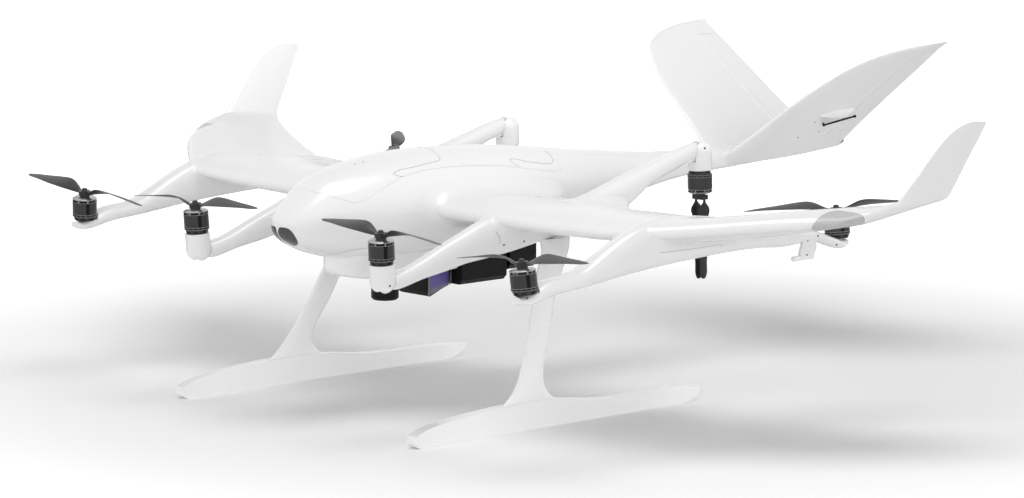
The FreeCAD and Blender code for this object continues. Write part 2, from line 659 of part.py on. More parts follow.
def motor_bell(model, tag):
    """Turning bell: wall, spoked top plate, boss and shaft; the seat is at z = 0."""
    size = model.size
    start = "motor_base_height + motor_gap"
    wall = model.cylinder("wall_" + tag, "motor_diameter / 2", "bell_height - bell_plate", z=start)
    dome = model.add("Part::Cone", "dome_" + tag, Radius1="motor_diameter / 2", Radius2="motor_diameter / 2 - 4",
                     Height="bell_plate", z=start + " + bell_height - bell_plate")
    boss = model.cylinder("boss_" + tag, "boss_diameter / 2", "boss_height", z=start + " + bell_height")
    outer = model.fuse("bell_outer_" + tag, [wall, dome, boss])
    cavity = model.cylinder("cavity_" + tag, "motor_diameter / 2 - bell_wall",
                            "bell_height - 2 * bell_window_height - bell_plate + motor_gap", z=start)
    high = size.motor_base_height + size.motor_gap + size.bell_height - size.bell_plate
    windows = model.form("windows_" + tag, crossed_boxes(
        2 * size.motor_diameter, size.motor_diameter * 0.32, high - size.bell_window_height, high, 4))
    hollow = model.cut("hollow_" + tag, model.cut("cup_" + tag, outer, cavity), windows)
    core = model.cylinder("bell_core_" + tag, "motor_diameter / 3.4", "2 * bell_window_height",
                          z=start + " + bell_height - bell_plate - 1.5 * bell_window_height")
    shaft = model.cylinder("shaft_" + tag, "shaft_diameter / 2", start + " + bell_height - bell_plate", z="0.5")
    return model.fuse("bell_" + tag, [hollow, core, shaft])


def blade_solid(table, length, hand):
    """One blade along +X; hand 1 turns anticlockwise seen from above, -1 clockwise."""
    stretch = length / table[-1][0]
    wires = []
    for radius, chord, thickness, pitch, height, sweep in table:
        angle = math.radians(pitch) * hand
        along = Vec(0, math.cos(angle), math.sin(angle))
        up = Vec(0, -math.sin(angle), math.cos(angle))
        middle = Vec(radius * stretch, sweep * hand, height)
        front, rear = middle + along * (chord / 2), middle - along * (chord / 2)
        wires.append(Part.Wire([
            Part.Arc(front, middle + up * (thickness * 0.6), rear).toShape(),
            Part.Arc(rear, middle - up * (thickness * 0.4), front).toShape()]))
    return loft(wires)


def propeller(model, tag, hand):
    """Two blades, hub and cap nut; the hub's middle is at z = 0."""
    hub = model.cylinder("hub_" + tag, "propeller_hub_diameter / 2", "propeller_hub_height",
                         z="-propeller_hub_height / 2")
    nut = model.add("Part::Cone", "nut_" + tag, Radius1="nut_diameter / 2", Radius2="nut_diameter / 3",
                    Height="nut_height", z="propeller_hub_height / 2")
    blade = blade_solid(BLADE, model.size.propeller_diameter / 2, hand)
    blades = [model.form("blade_%s_%d" % (tag, spin), turned(blade, Vec(0, 0, 0), Z_AXIS, spin)) for spin in (0, 180)]
    return model.fuse("propeller_" + tag, [hub, nut] + blades)


def fold_hub(model, tag):
    """Hub of a folding propeller on top of the bell, with two forked ears and their pins."""
    size = model.size
    half_high = size.propeller_hub_height / 2
    ear = size.fold_ear
    hub = model.cylinder("fold_core_" + tag, "fold_hub_diameter / 2", "propeller_hub_height",
                         z="-propeller_hub_height / 2")
    ears = model.box("ears_" + tag, "2 * (blade_pin_offset + fold_ear)", "2 * fold_ear + 6", "propeller_hub_height",
                     x="-blade_pin_offset - fold_ear", y="-fold_ear - 3", z="-propeller_hub_height / 2")
    body = model.fuse("fold_body_" + tag, [hub, ears])
    inner = size.blade_pin_offset - ear - 0.6
    reach = 2 * size.blade_pin_offset
    slot = box((inner, -size.fold_slot / 2, -2 * half_high), (reach, size.fold_slot / 2, 2 * half_high))
    slots = model.form("fold_slots_" + tag, Part.makeCompound([slot, mirrored(slot)]))
    pins = [model.cylinder("fold_pin_%s_%d" % (tag, k), "blade_pin_diameter / 2", "2 * fold_ear + 6",
                           FreeCAD.Rotation(X_AXIS, -90), x=place, y="-fold_ear - 3")
            for k, place in enumerate(("blade_pin_offset", "-1 * blade_pin_offset"))]
    return model.fuse("fold_hub_" + tag, [model.cut("fold_fork_" + tag, body, slots)] + pins)


def folding_blade(model, tag, hand):
    """Blade of a folding propeller, spread along +X from its pin at the origin."""
    size = model.size
    half = size.fold_slot / 2 - 0.4
    eye = Part.makeCylinder(size.fold_ear, 2 * half, Vec(0, -half, 0), Y_AXIS)
    blade = turned(blade_solid(FOLDING_BLADE, size.folded_blade_length, hand), Vec(0, 0, 0), X_AXIS, 180)
    solid = largest(fused([eye, blade]))
    bore = rod(Vec(0, -20, 0), Vec(0, 20, 0), size.blade_pin_diameter + 2 * size.pin_clearance)
    return model.form("folding_" + tag, solid.cut(bore))


def pod(model, tag, reach):
    """Tilt pod about +Z, tilt axis through the origin along X; the arm enters from +Y and from below."""
    across = FreeCAD.Rotation(Y_AXIS, 90)
    column = model.cylinder("column_" + tag, "pod_diameter / 2", reach)
    ball = model.add("Part::Sphere", "ball_" + tag, Radius="pod_diameter / 2")
    half, clear = "(tongue_thick / 2 + fork_gap)", "(tongue_radius + fork_gap)"
    slot = model.box("slot_" + tag, "2 * " + half, "pod_diameter", "pod_diameter + " + clear,
                     x="-1 * " + half, z="-1 * pod_diameter")
    eye = model.cylinder("eye_" + tag, clear, "2 * " + half, across, x="-1 * " + half)
    foot = model.box("foot_" + tag, "2 * " + half, "pod_diameter + " + clear, "pod_diameter",
                     x="-1 * " + half, y="-1 * " + clear, z="-1 * pod_diameter")
    room = model.fuse("room_" + tag, [slot, eye, foot])
    shell = model.cut("cheeks_" + tag, model.fuse("pod_body_" + tag, [column, ball]), room)
    pin = model.cylinder("pivot_" + tag, "pivot_pin_diameter / 2", "pod_diameter - 4", across, x="2 - pod_diameter / 2")
    return model.fuse("pod_" + tag, [shell, pin])


def tongue_solid(size, x, y, z, run, rise):
    """Tongue of an arm with its round end about the tilt axis, and the bore for the pin."""
    half = size.tongue_thick / 2
    eye = Part.makeCylinder(size.tongue_radius, 2 * half, Vec(x - half, y, z), X_AXIS)
    direction = Vec(0, run, rise)
    unit = Vec(direction)
    unit.normalize()
    side = X_AXIS.cross(unit) * size.tongue_half_height
    start = Vec(x - half, y, z)
    web = prism([start + side, start - side, start - side + direction, start + side + direction], Vec(2 * half, 0, 0))
    bore = rod(Vec(x - 2 * half, y, z), Vec(x + 2 * half, y, z), size.pivot_pin_diameter + 2 * size.pin_clearance)
    return eye.fuse(web), bore


def lean(forward, inboard, side):
    """Rotation that leans a shaft forward and towards the middle."""
    return FreeCAD.Rotation(Y_AXIS, -inboard * side).multiply(FreeCAD.Rotation(X_AXIS, forward))


def moved(shape, placement):
    """A copy of the shape in its place."""
    copy = shape.copy()
    copy.Placement = placement.multiply(copy.Placement)
    return copy


def pod_room(size, x, y, z, turn):
    """The space that a pod needs clear of its arm, from its seat round its end."""
    r = size.pod_diameter / 2 + size.arm_gap
    ball = Part.makeSphere(r, Vec(x, y, z))
    column = Part.makeCylinder(r, size.pod_diameter)
    return ball.fuse(moved(column, FreeCAD.Placement(Vec(x, y, z), turn)))


def landing_gear(size):
    """Left skid and leg as one moulding."""
    half = size.skid_width / 2
    x = size.skid_x - half
    top = Part.BSplineCurve()
    top.interpolate([Vec(x, y, z) for y, z in SKID_TOP])
    front, rear = SKID_TOP[0], SKID_TOP[-1]
    high = front[1]
    sole_front, sole_rear = Vec(x, front[0] + high * 0.7, 0), Vec(x, rear[0] - rear[1] * 1.5, 0)
    first, last = Vec(x, front[0], front[1]), Vec(x, rear[0], rear[1])
    toe = bezier(sole_front, sole_front - Vec(0, high * 0.6, 0), first - Vec(0, high * 0.35, high * 0.55), first)
    heel = bezier(last, last + Vec(0, rear[1] * 0.7, 0), sole_rear + Vec(0, rear[1] * 1.1, 0), sole_rear)
    sole = Part.LineSegment(sole_rear, sole_front).toShape()
    outline = Part.Wire([toe, top.toShape(), heel, sole])
    skid = Part.Face(outline).extrude(Vec(size.skid_width, 0, 0))
    wires = []
    for share, y_front, y_rear, z, wider in LEG:
        x_leg = size.skid_x + share * (size.front_inner_x - size.skid_x)
        wires.append(level_oval(x_leg, y_front, y_rear, z, size.leg_width / 2 + wider))
    return skid.fuse(loft(wires)).removeSplitter()


def airframe_pieces(model, skin):
    """Wings, booms, arms, fins and what is fixed to them, for both sides."""
    size = model.size
    wing = wing_solid(size)
    fin = fin_solid(size)
    fin_root, fin_along, fin_up = fin_frame(size)
    gear = landing_gear(size)
    outer_boom = boom(OUTER_BOOM, size.outer_x)
    front_arm = boom(FRONT_ARM, size.front_inner_x)
    rear_arm = boom(REAR_ARM, size.rear_inner_x)

    place = (size.front_inner_x, size.front_inner_y, size.front_pivot_z)
    tongue, bore = tongue_solid(size, *place, 52, 6)
    tongue = turned(tongue, Vec(*place), Y_AXIS, size.front_inner_lean_out)
    bore = turned(bore, Vec(*place), Y_AXIS, size.front_inner_lean_out)
    turn = lean(size.front_inner_lean, -size.front_inner_lean_out, 1)
    front_arm = front_arm.cut(pod_room(size, *place, turn)).fuse(tongue).cut(bore)
    place = (size.rear_inner_x, size.rear_inner_y, size.rear_pivot_z)
    tongue, bore = tongue_solid(size, *place, -56, -9)
    turn = lean(size.rear_inner_lean, 0, 1).multiply(FreeCAD.Rotation(X_AXIS, 180))
    rear_arm = rear_arm.cut(pod_room(size, *place, turn)).fuse(tongue).cut(bore)

    inner_end = Vec(size.rear_inner_x + size.aileron_arm_gap, size.aileron_hinge_y, size.aileron_hinge_z)
    outer_end = Vec(size.outer_x - size.aileron_boom_gap, size.aileron_hinge_y,
                    size.aileron_hinge_z + size.aileron_hinge_rise)
    wing, aileron = hinged_surface(size, wing, inner_end, outer_end, (10.3, 10.7), 140)
    hinge_y = Vec(0, size.ruddervator_hinge_y, 0)
    fin, ruddervator = hinged_surface(
        size, fin, fin_root + fin_along * size.ruddervator_root + hinge_y,
        fin_root + fin_along * size.ruddervator_tip + hinge_y, (8.0, 3.4), 120)

    # Each piece of the airframe gives way to the one that carries it
    wing = largest(wing.cut(skin))
    lens = wing.common(position_light(wing, size, 0.0))
    wing = largest(wing.cut(position_light(wing, size, size.seam_gap)))
    outer_boom = largest(outer_boom.cut(wing))
    front_arm = largest(front_arm.cut(wing))
    rear_arm = largest(rear_arm.cut(wing).cut(aileron))
    gear = largest(gear.cut(front_arm).cut(wing))
    fin = largest(fin.cut(skin).cut(mirrored(fin)))
    ruddervator = largest(ruddervator.cut(skin))
    for y, z, forward in ((size.front_outer_y, size.outer_front_seat_z, size.front_outer_lean),
                          (size.rear_outer_y, size.outer_rear_seat_z, size.rear_outer_lean)):
        room = Part.makeCylinder(size.motor_diameter / 2 + size.surface_gap, 90)
        seat = FreeCAD.Placement(Vec(size.outer_x, y, z), lean(forward, size.outer_lean_in, 1))
        outer_boom = largest(outer_boom.cut(moved(room, seat)))
        wing = largest(wing.cut(moved(room, seat)))

    pairs = {"wing": wing, "outer_boom": outer_boom, "front_arm": front_arm, "rear_arm": rear_arm,
             "landing_gear": gear, "fin": fin, "aileron": aileron, "ruddervator": ruddervator}
    for name, shape in pairs.items():
        model.keep(model.form(name + "_a", shape), name + "_left")
        model.keep(model.form(name + "_b", mirrored(shape)), name + "_right")

    lens = largest(lens)
    model.keep(model.form("lights", Part.makeCompound([lens, mirrored(lens)])), "position_lights")
    cover = largest(servo_cover(size).cut(fin).cut(ruddervator))
    model.keep(model.form("covers", Part.makeCompound([cover, mirrored(cover)])), "servo_covers")

    bracket = prism([Vec(size.probe_x - size.probe_thick / 2, y, z) for y, z in PROBE_BRACKET],
                    Vec(size.probe_thick, 0, 0))
    low = min(z for y, z in PROBE_BRACKET)
    front = min(y for y, z in PROBE_BRACKET)
    back = max(y for y, z in PROBE_BRACKET)
    tube = rod(Vec(size.probe_x, front - 18, low + 3), Vec(size.probe_x, back - 8, low + 3), size.probe_tube_diameter)
    probe = largest(bracket.fuse(tube).cut(outer_boom).cut(wing))
    model.keep(model.form("probe", probe), "airspeed_probe")

    ends = [fin_root + fin_along * along + Vec(0, y, 0) - fin_up * size.rod_drop for along, y in ROD_ENDS]
    bar = rod(ends[0], ends[1], size.push_rod_diameter)
    balls = [Part.makeSphere(size.rod_end_diameter / 2, end) for end in ends]
    to_fin = Part.Vertex(ends[0]).distToShape(fin)[0]
    post = rod(ends[0], ends[0] + fin_up * to_fin, size.push_rod_diameter)
    linkage = fused([bar, post] + balls)
    model.keep(model.form("rods", Part.makeCompound([linkage, mirrored(linkage)])), "push_rods")


def rotor_pieces(model):
    """Eight rotors; the inner four tilt in pods, the rear inner two hang down and fold."""
    size = model.size
    # Name, x, y, z of the seat or tilt axis, points up, tilts, forward lean, inboard lean,
    # hand on the left, blade angle on the left
    rotors = [
        ("front_outer", size.outer_x, size.front_outer_y, size.outer_front_seat_z, True, False,
         size.front_outer_lean, size.outer_lean_in, 1, -3),
        ("front_inner", size.front_inner_x, size.front_inner_y, size.front_pivot_z, True, True,
         size.front_inner_lean, -size.front_inner_lean_out, -1, -2.5),
        ("rear_inner", size.rear_inner_x, size.rear_inner_y, size.rear_pivot_z, False, True,
         size.rear_inner_lean, 0, 1, 0),
        ("rear_outer", size.outer_x, size.rear_outer_y, size.outer_rear_seat_z, True, False,
         size.rear_outer_lean, size.outer_lean_in, -1, 46),
    ]
    outer_bases = []
    for name, x, y, z, up, tilts, forward, inboard, hand, blade_angle in rotors:
        reach_name = "front_pod_reach" if up else "rear_pod_reach"
        seat = getattr(size, reach_name) if tilts else 0.0
        hub_z = seat + size.motor_base_height + size.motor_gap + size.bell_height + size.boss_height
        hub_z += size.propeller_hub_height / 2
        flip = FreeCAD.Rotation(X_AXIS, 0 if up else 180)
        for side, side_name in ((1, "left"), (-1, "right")):
            turn = lean(forward, inboard, side)
            centre = FreeCAD.Placement(Vec(side * x, y, z), turn.multiply(flip))

            def at(lift, spin=0.0):
                return centre.multiply(FreeCAD.Placement(Vec(0, 0, lift), FreeCAD.Rotation(Z_AXIS, spin)))

            label = name + "_" + side_name
            base = motor_base(model, label)
            if tilts:
                model.keep(pod(model, label, reach_name), "pod_" + label, at(0))
                model.keep(base, "motor_base_" + label, at(seat))
            else:
                base.Placement = at(seat)
                outer_bases.append(base)
            model.keep(motor_bell(model, label), "bell_" + label, at(seat))
            if name == "rear_inner":
                model.keep(fold_hub(model, side_name), "fold_hub_" + side_name, at(hub_z))
                for letter, spin in (("a", 0), ("b", 180)):
                    pin = FreeCAD.Placement(Vec(size.blade_pin_offset, 0, 0), FreeCAD.Rotation(Y_AXIS, -90))
                    blade = folding_blade(model, side_name + letter, hand * side)
                    model.keep(blade, "blade_%s_%s" % (side_name, letter), at(hub_z, spin).multiply(pin))
            else:
                model.keep(propeller(model, label, hand * side), "propeller_" + label, at(hub_z, blade_angle * side))
    group = model.doc.addObject("Part::Compound", "outer_bases")
    group.Links = outer_bases
    model.keep(group, "outer_motor_bases")


def main():
    model = Model()
    skin = fuselage_pieces(model)
    belly_pieces(model, skin)
    airframe_pieces(model, skin)
    rotor_pieces(model)
    model.doc.recompute()
    for item in model.doc.Objects:
        if "Invalid" in item.State or "Error" in item.State:
            raise RuntimeError("%s failed: %s" % (item.Label, item.State))
    os.makedirs("parts", exist_ok=True)
    for item in model.nodes:
        if item.Shape.isNull() or not item.Shape.isValid():
            raise RuntimeError("%s has no valid shape" % item.Label)
        print("%-28s solids %d  volume %.1f cm3" % (item.Label, len(item.Shape.Solids), item.Shape.Volume / 1000))
        item.Shape.exportStep("parts/%s.step" % item.Label)


main()
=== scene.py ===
"""Looks for a delivery drone with eight rotors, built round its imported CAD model.

Metres, in the CAD model's frame: +X is the aircraft's own left wing, the nose points along -Y, +Z is up.
Each group of pieces has an operator, and main() calls them in order.
"""
import json
import math

import bmesh
import bpy
import numpy as np
from bpy.props import FloatProperty, FloatVectorProperty, IntProperty, PointerProperty
from mathutils import Matrix, Vector
from mathutils.bvhtree import BVHTree

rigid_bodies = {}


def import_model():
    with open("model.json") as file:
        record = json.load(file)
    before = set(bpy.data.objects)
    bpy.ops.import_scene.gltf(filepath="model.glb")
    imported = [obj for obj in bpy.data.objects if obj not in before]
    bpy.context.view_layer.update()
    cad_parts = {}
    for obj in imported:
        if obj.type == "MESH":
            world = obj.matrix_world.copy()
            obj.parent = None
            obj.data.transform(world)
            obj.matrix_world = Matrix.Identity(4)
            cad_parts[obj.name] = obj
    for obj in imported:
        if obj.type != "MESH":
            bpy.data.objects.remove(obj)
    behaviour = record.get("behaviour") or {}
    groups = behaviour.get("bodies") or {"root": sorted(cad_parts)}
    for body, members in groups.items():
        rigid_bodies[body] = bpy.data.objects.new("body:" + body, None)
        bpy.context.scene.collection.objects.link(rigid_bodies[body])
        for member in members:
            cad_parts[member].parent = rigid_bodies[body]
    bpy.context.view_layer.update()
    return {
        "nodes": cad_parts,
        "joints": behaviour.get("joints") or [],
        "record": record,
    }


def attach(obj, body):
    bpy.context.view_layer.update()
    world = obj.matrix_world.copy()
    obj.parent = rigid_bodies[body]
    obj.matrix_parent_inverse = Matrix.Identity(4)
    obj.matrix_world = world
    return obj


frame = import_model()
JOINTS = {joint["name"]: joint for joint in frame["joints"]}

bl_info = {
    "name": "Delivery drone looks",
    "version": (1, 1, 0),
    "blender": (4, 5, 0),
    "location": "View3D > Sidebar > Drone",
    "description": "Paint, fittings and studio for the delivery drone",
    "category": "Object",
}

SIDES = ((1, "left"), (-1, "right"))

# Distance from each motor's joint, which is at its tilt pivot or at its seat, to its seat
SEAT_REACH = {"front_outer": 0.0, "front_inner": 0.032, "rear_inner": 0.035, "rear_outer": 0.0}
UPSIDE_DOWN = "rear_inner"

# Hairline seams on the left side: name, node, whether the line runs on over the middle, points on it
SEAMS = (
    ("front_grip_seam", "front_lid", True,
     ((0.088, -0.5524, 0.4663), (0.0762, -0.5695, 0.4749), (0.0747, -0.5104, 0.483), (0.0705, -0.45, 0.4888),
      (0.0629, -0.4368, 0.4927), (0.044, -0.4328, 0.5002), (0.014, -0.4241, 0.5059))),
    ("rear_grip_seam", "rear_lid", True,
     ((0.0889, -0.2485, 0.462), (0.0752, -0.262, 0.4763), (0.0788, -0.2097, 0.4674), (0.0782, -0.1534, 0.4595),
      (0.0701, -0.1384, 0.464), (0.057, -0.1336, 0.4722), (0.036, -0.1279, 0.4796))),
    ("belly_seam", "fuselage_shell", True,
     ((0.082, -0.605, 0.341), (0.075, -0.6368, 0.3362), (0.0566, -0.6766, 0.3312), (0.0133, -0.6948, 0.3195))),
    ("boom_hatch_seam", "outer_boom", False,
     ((0.6714, -0.4438, 0.3742), (0.6715, -0.3911, 0.3747), (0.671, -0.3347, 0.3755), (0.6708, -0.2969, 0.3768),
      (0.6708, -0.2829, 0.3755), (0.669, -0.277, 0.3689))),
    ("arm_seam", "front_arm", False,
     ((0.2961, -0.5034, 0.380), (0.2961, -0.5004, 0.3743), (0.2958, -0.494, 0.366), (0.2955, -0.492, 0.354))),
    ("rear_arm_seam", "rear_arm", False,
     ((0.291, -0.052, 0.442), (0.2915, -0.01, 0.456), (0.2915, 0.0222, 0.4665))),
)

# Countersunk screws on the left side: node, points near them
SCREWS = (
    ("front_arm", ((0.2955, -0.4816, 0.3505), (0.2951, -0.4285, 0.3519))),
    ("pod_front_inner", ((0.2972, -0.7738, 0.3018),)),
    ("pod_rear_inner", ((0.3, 0.059, 0.4939),)),
    ("outer_boom", ((0.6588, -0.7696, 0.3197), (0.6672, 0.0459, 0.3416), (0.6683, -0.0089, 0.3643))),
    ("airspeed_probe", ((0.6689, -0.0351, 0.3647), (0.6655, -0.0365, 0.3297))),
    ("fin", ((0.1750, 0.618, 0.5045), (0.1345, 0.5657, 0.4928), (0.0977, 0.619, 0.4661), (0.0892, 0.5632, 0.4569))),
)

# Blends on the left side, copied to the right: name, nodes that meet, lowest and highest corner of the
# region, spacing of the skin's points, smoothing passes
BLENDS = (
    ("wing_root_blend", ("fuselage_shell", "wing_left", "front_arm_left", "rear_arm_left"),
     (0.060, -0.640, 0.250), (0.330, 0.090, 0.470), 0.005, 220),
    ("boom_blend", ("outer_boom_left", "wing_left"), (0.570, -0.520, 0.290), (0.730, -0.190, 0.460), 0.004, 90),
    ("fin_root_blend", ("fuselage_shell", "fin_left"), (0.002, 0.380, 0.320), (0.130, 0.650, 0.510), 0.004, 60),
)
# Share of a region, in from its faces, over which the smoothing grows from nothing
BLEND_EDGE = 0.3

# Round fittings on the wing root: name, finish, radius, place. The lock hole is a flat satin black disc on the skin,
# painted shade for the dark inside of the hole
ROOT_FITTINGS = (("wing_lock_hole", "satin black", 0.0065, (0.1990, -0.3020, 0.4175)),
                 ("wing_lock_cap", "seam", 0.0090, (0.1386, -0.1952, 0.4032)))

# Small pale studs on the front lid
STUDS = ((0.0185, -0.6178, 0.4914), (0.0202, -0.5988, 0.4939), (0.0, -0.4346, 0.5068))


# Settings

class DronePaints(bpy.types.PropertyGroup):
    """Colours of the drone's finishes."""
    white: FloatVectorProperty(
        name="White paint", description="Gloss paint of the airframe", subtype="COLOR", default=(0.86, 0.86, 0.86))
    module_black: FloatVectorProperty(
        name="Module black", description="Satin cases below the belly", subtype="COLOR",
        default=(0.004, 0.004, 0.0043))
    motor_dark: FloatVectorProperty(
        name="Motor anodising", description="Dark wall of the motor bells", subtype="COLOR",
        default=(0.045, 0.045, 0.046))
    metal: FloatVectorProperty(
        name="Machined metal", description="Bare plates, rims and spokes of the motors", subtype="COLOR",
        default=(0.42, 0.42, 0.43))
    blade: FloatVectorProperty(
        name="Blade", description="Satin filled plastic of the blades", subtype="COLOR", default=(0.018, 0.018, 0.0187))
    tail_cap: FloatVectorProperty(
        name="Tail cap", description="Dark plastic cap of the tail boom", subtype="COLOR", default=(0.13, 0.13, 0.135))
    window: FloatVectorProperty(
        name="Nose window", description="Tinted camera window", subtype="COLOR", default=(0.05, 0.05, 0.052))
    battery: FloatVectorProperty(
        name="Battery", description="Wrapped battery block", subtype="COLOR", default=(0.05, 0.055, 0.06))
    light_lens: FloatVectorProperty(
        name="Position light", description="Frosted lens on the wing", subtype="COLOR", default=(0.50, 0.50, 0.505))
    violet: FloatVectorProperty(
        name="Violet panel", description="Top of the cargo module's side panel", subtype="COLOR",
        default=(0.115, 0.085, 0.30))
    panel_grey: FloatVectorProperty(
        name="Panel grey", description="Foot of the cargo module's side panel", subtype="COLOR",
        default=(0.16, 0.16, 0.17))
    seam: FloatVectorProperty(
        name="Seam", description="Shade in the hairline seams", subtype="COLOR", default=(0.33, 0.33, 0.33))


class DroneFittings(bpy.types.PropertyGroup):
    """Sizes of the small fittings."""
    seam_width: FloatProperty(
        name="Seam width", description="Width of a hairline seam", unit="LENGTH", default=0.0011)
    seam_lift: FloatProperty(
        name="Seam lift", description="How far a seam's bead stands proud", unit="LENGTH", default=0.00012)
    seam_step: FloatProperty(
        name="Seam step", description="Spacing of the points along a seam", unit="LENGTH", default=0.004)
    screw_radius: FloatProperty(name="Screw", description="Radius of a screw head", unit="LENGTH", default=0.0021)
    stud_radius: FloatProperty(name="Stud", description="Radius of a lid stud", unit="LENGTH", default=0.0019)
    motor_radius: FloatProperty(name="Motor radius", description="Radius of the bell", unit="LENGTH", default=0.0245)
    bell_start: FloatProperty(
        name="Bell start", description="Bottom of the bell above the seat", unit="LENGTH", default=0.0086)
    bell_height: FloatProperty(name="Bell height", description="Height of the bell", unit="LENGTH", default=0.038)
    plate: FloatProperty(name="Plate", description="Thickness of the bell's top plate", unit="LENGTH", default=0.0034)
    window_height: FloatProperty(
        name="Bell window", description="Height of the windows under the plate", unit="LENGTH", default=0.0046)
    blend_sink: FloatProperty(
        name="Blend sink", description="How far a blend lies under the skin that it meets", unit="LENGTH",
        default=0.0006)
    spokes: IntProperty(name="Spokes", description="Spokes round a bell", default=8)


class DroneStudio(bpy.types.PropertyGroup):
    """Camera and light."""
    camera_place: FloatVectorProperty(
        name="Camera place", description="Where the camera stands", subtype="TRANSLATION", unit="LENGTH",
        default=(5.801, -5.682, 1.462))
    camera_azimuth: FloatProperty(
        name="Azimuth", description="Bearing of the camera round the drone", subtype="ANGLE",
        default=math.radians(46.53))
    camera_elevation: FloatProperty(
        name="Elevation", description="How far the camera looks down", subtype="ANGLE", default=math.radians(8.40))
    camera_roll: FloatProperty(
        name="Roll", description="Roll of the camera", subtype="ANGLE", default=math.radians(-0.32))
    lens: FloatProperty(
        name="Lens", description="Focal length in millimetres on a 36 mm sensor", subtype="DISTANCE_CAMERA",
        default=141.45)
    horizon: FloatProperty(
        name="Horizon", description="Strength of the soft light from low down", default=3.0, min=0)
    zenith: FloatProperty(
        name="Zenith", description="Strength of the soft light from high up", default=0.12, min=0)
    lamp_power: FloatProperty(
        name="Top lamp", description="Power of the soft box overhead", subtype="POWER", unit="POWER", default=40)
    floor_radius: FloatProperty(
        name="Floor", description="Radius of the pale floor", unit="LENGTH", default=40)


# Shader node helpers

def new_material(name):
    """An empty node material with its output and Principled shader."""
    material = bpy.data.materials.new(name)
    material.use_nodes = True
    nodes = material.node_tree.nodes
    nodes.clear()
    output = nodes.new("ShaderNodeOutputMaterial")
    shader = nodes.new("ShaderNodeBsdfPrincipled")
    material.node_tree.links.new(shader.outputs["BSDF"], output.inputs["Surface"])
    return material, material.node_tree, shader


def object_coordinates(tree):
    return tree.nodes.new("ShaderNodeTexCoord").outputs["Object"]


def paint_grain_group():
    """Faint waviness of a sprayed or moulded surface and soft patches of dust."""
    group = bpy.data.node_groups.new("Paint grain", "ShaderNodeTree")
    group.interface.new_socket("Vector", in_out="INPUT", socket_type="NodeSocketVector")
    for name, default in (("Colour", None), ("Ripple scale", 900.0), ("Ripple height", 0.02), ("Dust", 0.04),
                          ("Roughness", 0.25)):
        if default is None:
            group.interface.new_socket(name, in_out="INPUT", socket_type="NodeSocketColor")
        else:
            socket = group.interface.new_socket(name, in_out="INPUT", socket_type="NodeSocketFloat")
            socket.default_value = default
    group.interface.new_socket("Colour", in_out="OUTPUT", socket_type="NodeSocketColor")
    group.interface.new_socket("Roughness", in_out="OUTPUT", socket_type="NodeSocketFloat")
    group.interface.new_socket("Normal", in_out="OUTPUT", socket_type="NodeSocketVector")
    nodes, links = group.nodes, group.links
    start, end = nodes.new("NodeGroupInput"), nodes.new("NodeGroupOutput")
    ripple = nodes.new("ShaderNodeTexNoise")
    ripple.inputs["Detail"].default_value = 2
    links.new(start.outputs["Vector"], ripple.inputs["Vector"])
    links.new(start.outputs["Ripple scale"], ripple.inputs["Scale"])
    bump = nodes.new("ShaderNodeBump")
    bump.inputs["Distance"].default_value = 0.0002
    links.new(start.outputs["Ripple height"], bump.inputs["Strength"])
    links.new(ripple.outputs["Fac"], bump.inputs["Height"])
    links.new(bump.outputs["Normal"], end.inputs["Normal"])
    patches = nodes.new("ShaderNodeTexNoise")
    patches.inputs["Scale"].default_value = 7
    patches.inputs["Detail"].default_value = 4
    links.new(start.outputs["Vector"], patches.inputs["Vector"])
    amount = nodes.new("ShaderNodeMath")
    amount.operation = "MULTIPLY"
    links.new(patches.outputs["Fac"], amount.inputs[0])
    links.new(start.outputs["Dust"], amount.inputs[1])
    shade = nodes.new("ShaderNodeMix")
    shade.data_type = "RGBA"
    shade.blend_type = "MULTIPLY"
    shade.inputs["B"].default_value = (0.55, 0.54, 0.52, 1)
    links.new(amount.outputs[0], shade.inputs["Factor"])
    links.new(start.outputs["Colour"], shade.inputs["A"])
    links.new(shade.outputs["Result"], end.inputs["Colour"])
    rough = nodes.new("ShaderNodeMath")
    rough.operation = "ADD"
    links.new(start.outputs["Roughness"], rough.inputs[0])
    links.new(amount.outputs[0], rough.inputs[1])
    links.new(rough.outputs[0], end.inputs["Roughness"])
    return group


def grained_material(name, colour, roughness, ripple_scale, ripple_height, dust=0.04, metallic=0.0):
    """A Principled material whose colour, roughness and normal come from the grain group."""
    material, tree, shader = new_material(name)
    grain = tree.nodes.new("ShaderNodeGroup")
    grain.node_tree = bpy.data.node_groups.get("Paint grain") or paint_grain_group()
    tree.links.new(object_coordinates(tree), grain.inputs["Vector"])
    grain.inputs["Colour"].default_value = (*colour, 1)
    grain.inputs["Roughness"].default_value = roughness
    grain.inputs["Ripple scale"].default_value = ripple_scale
    grain.inputs["Ripple height"].default_value = ripple_height
    grain.inputs["Dust"].default_value = dust
    tree.links.new(grain.outputs["Colour"], shader.inputs["Base Color"])
    tree.links.new(grain.outputs["Roughness"], shader.inputs["Roughness"])
    tree.links.new(grain.outputs["Normal"], shader.inputs["Normal"])
    shader.inputs["Metallic"].default_value = metallic
    return material, tree, shader


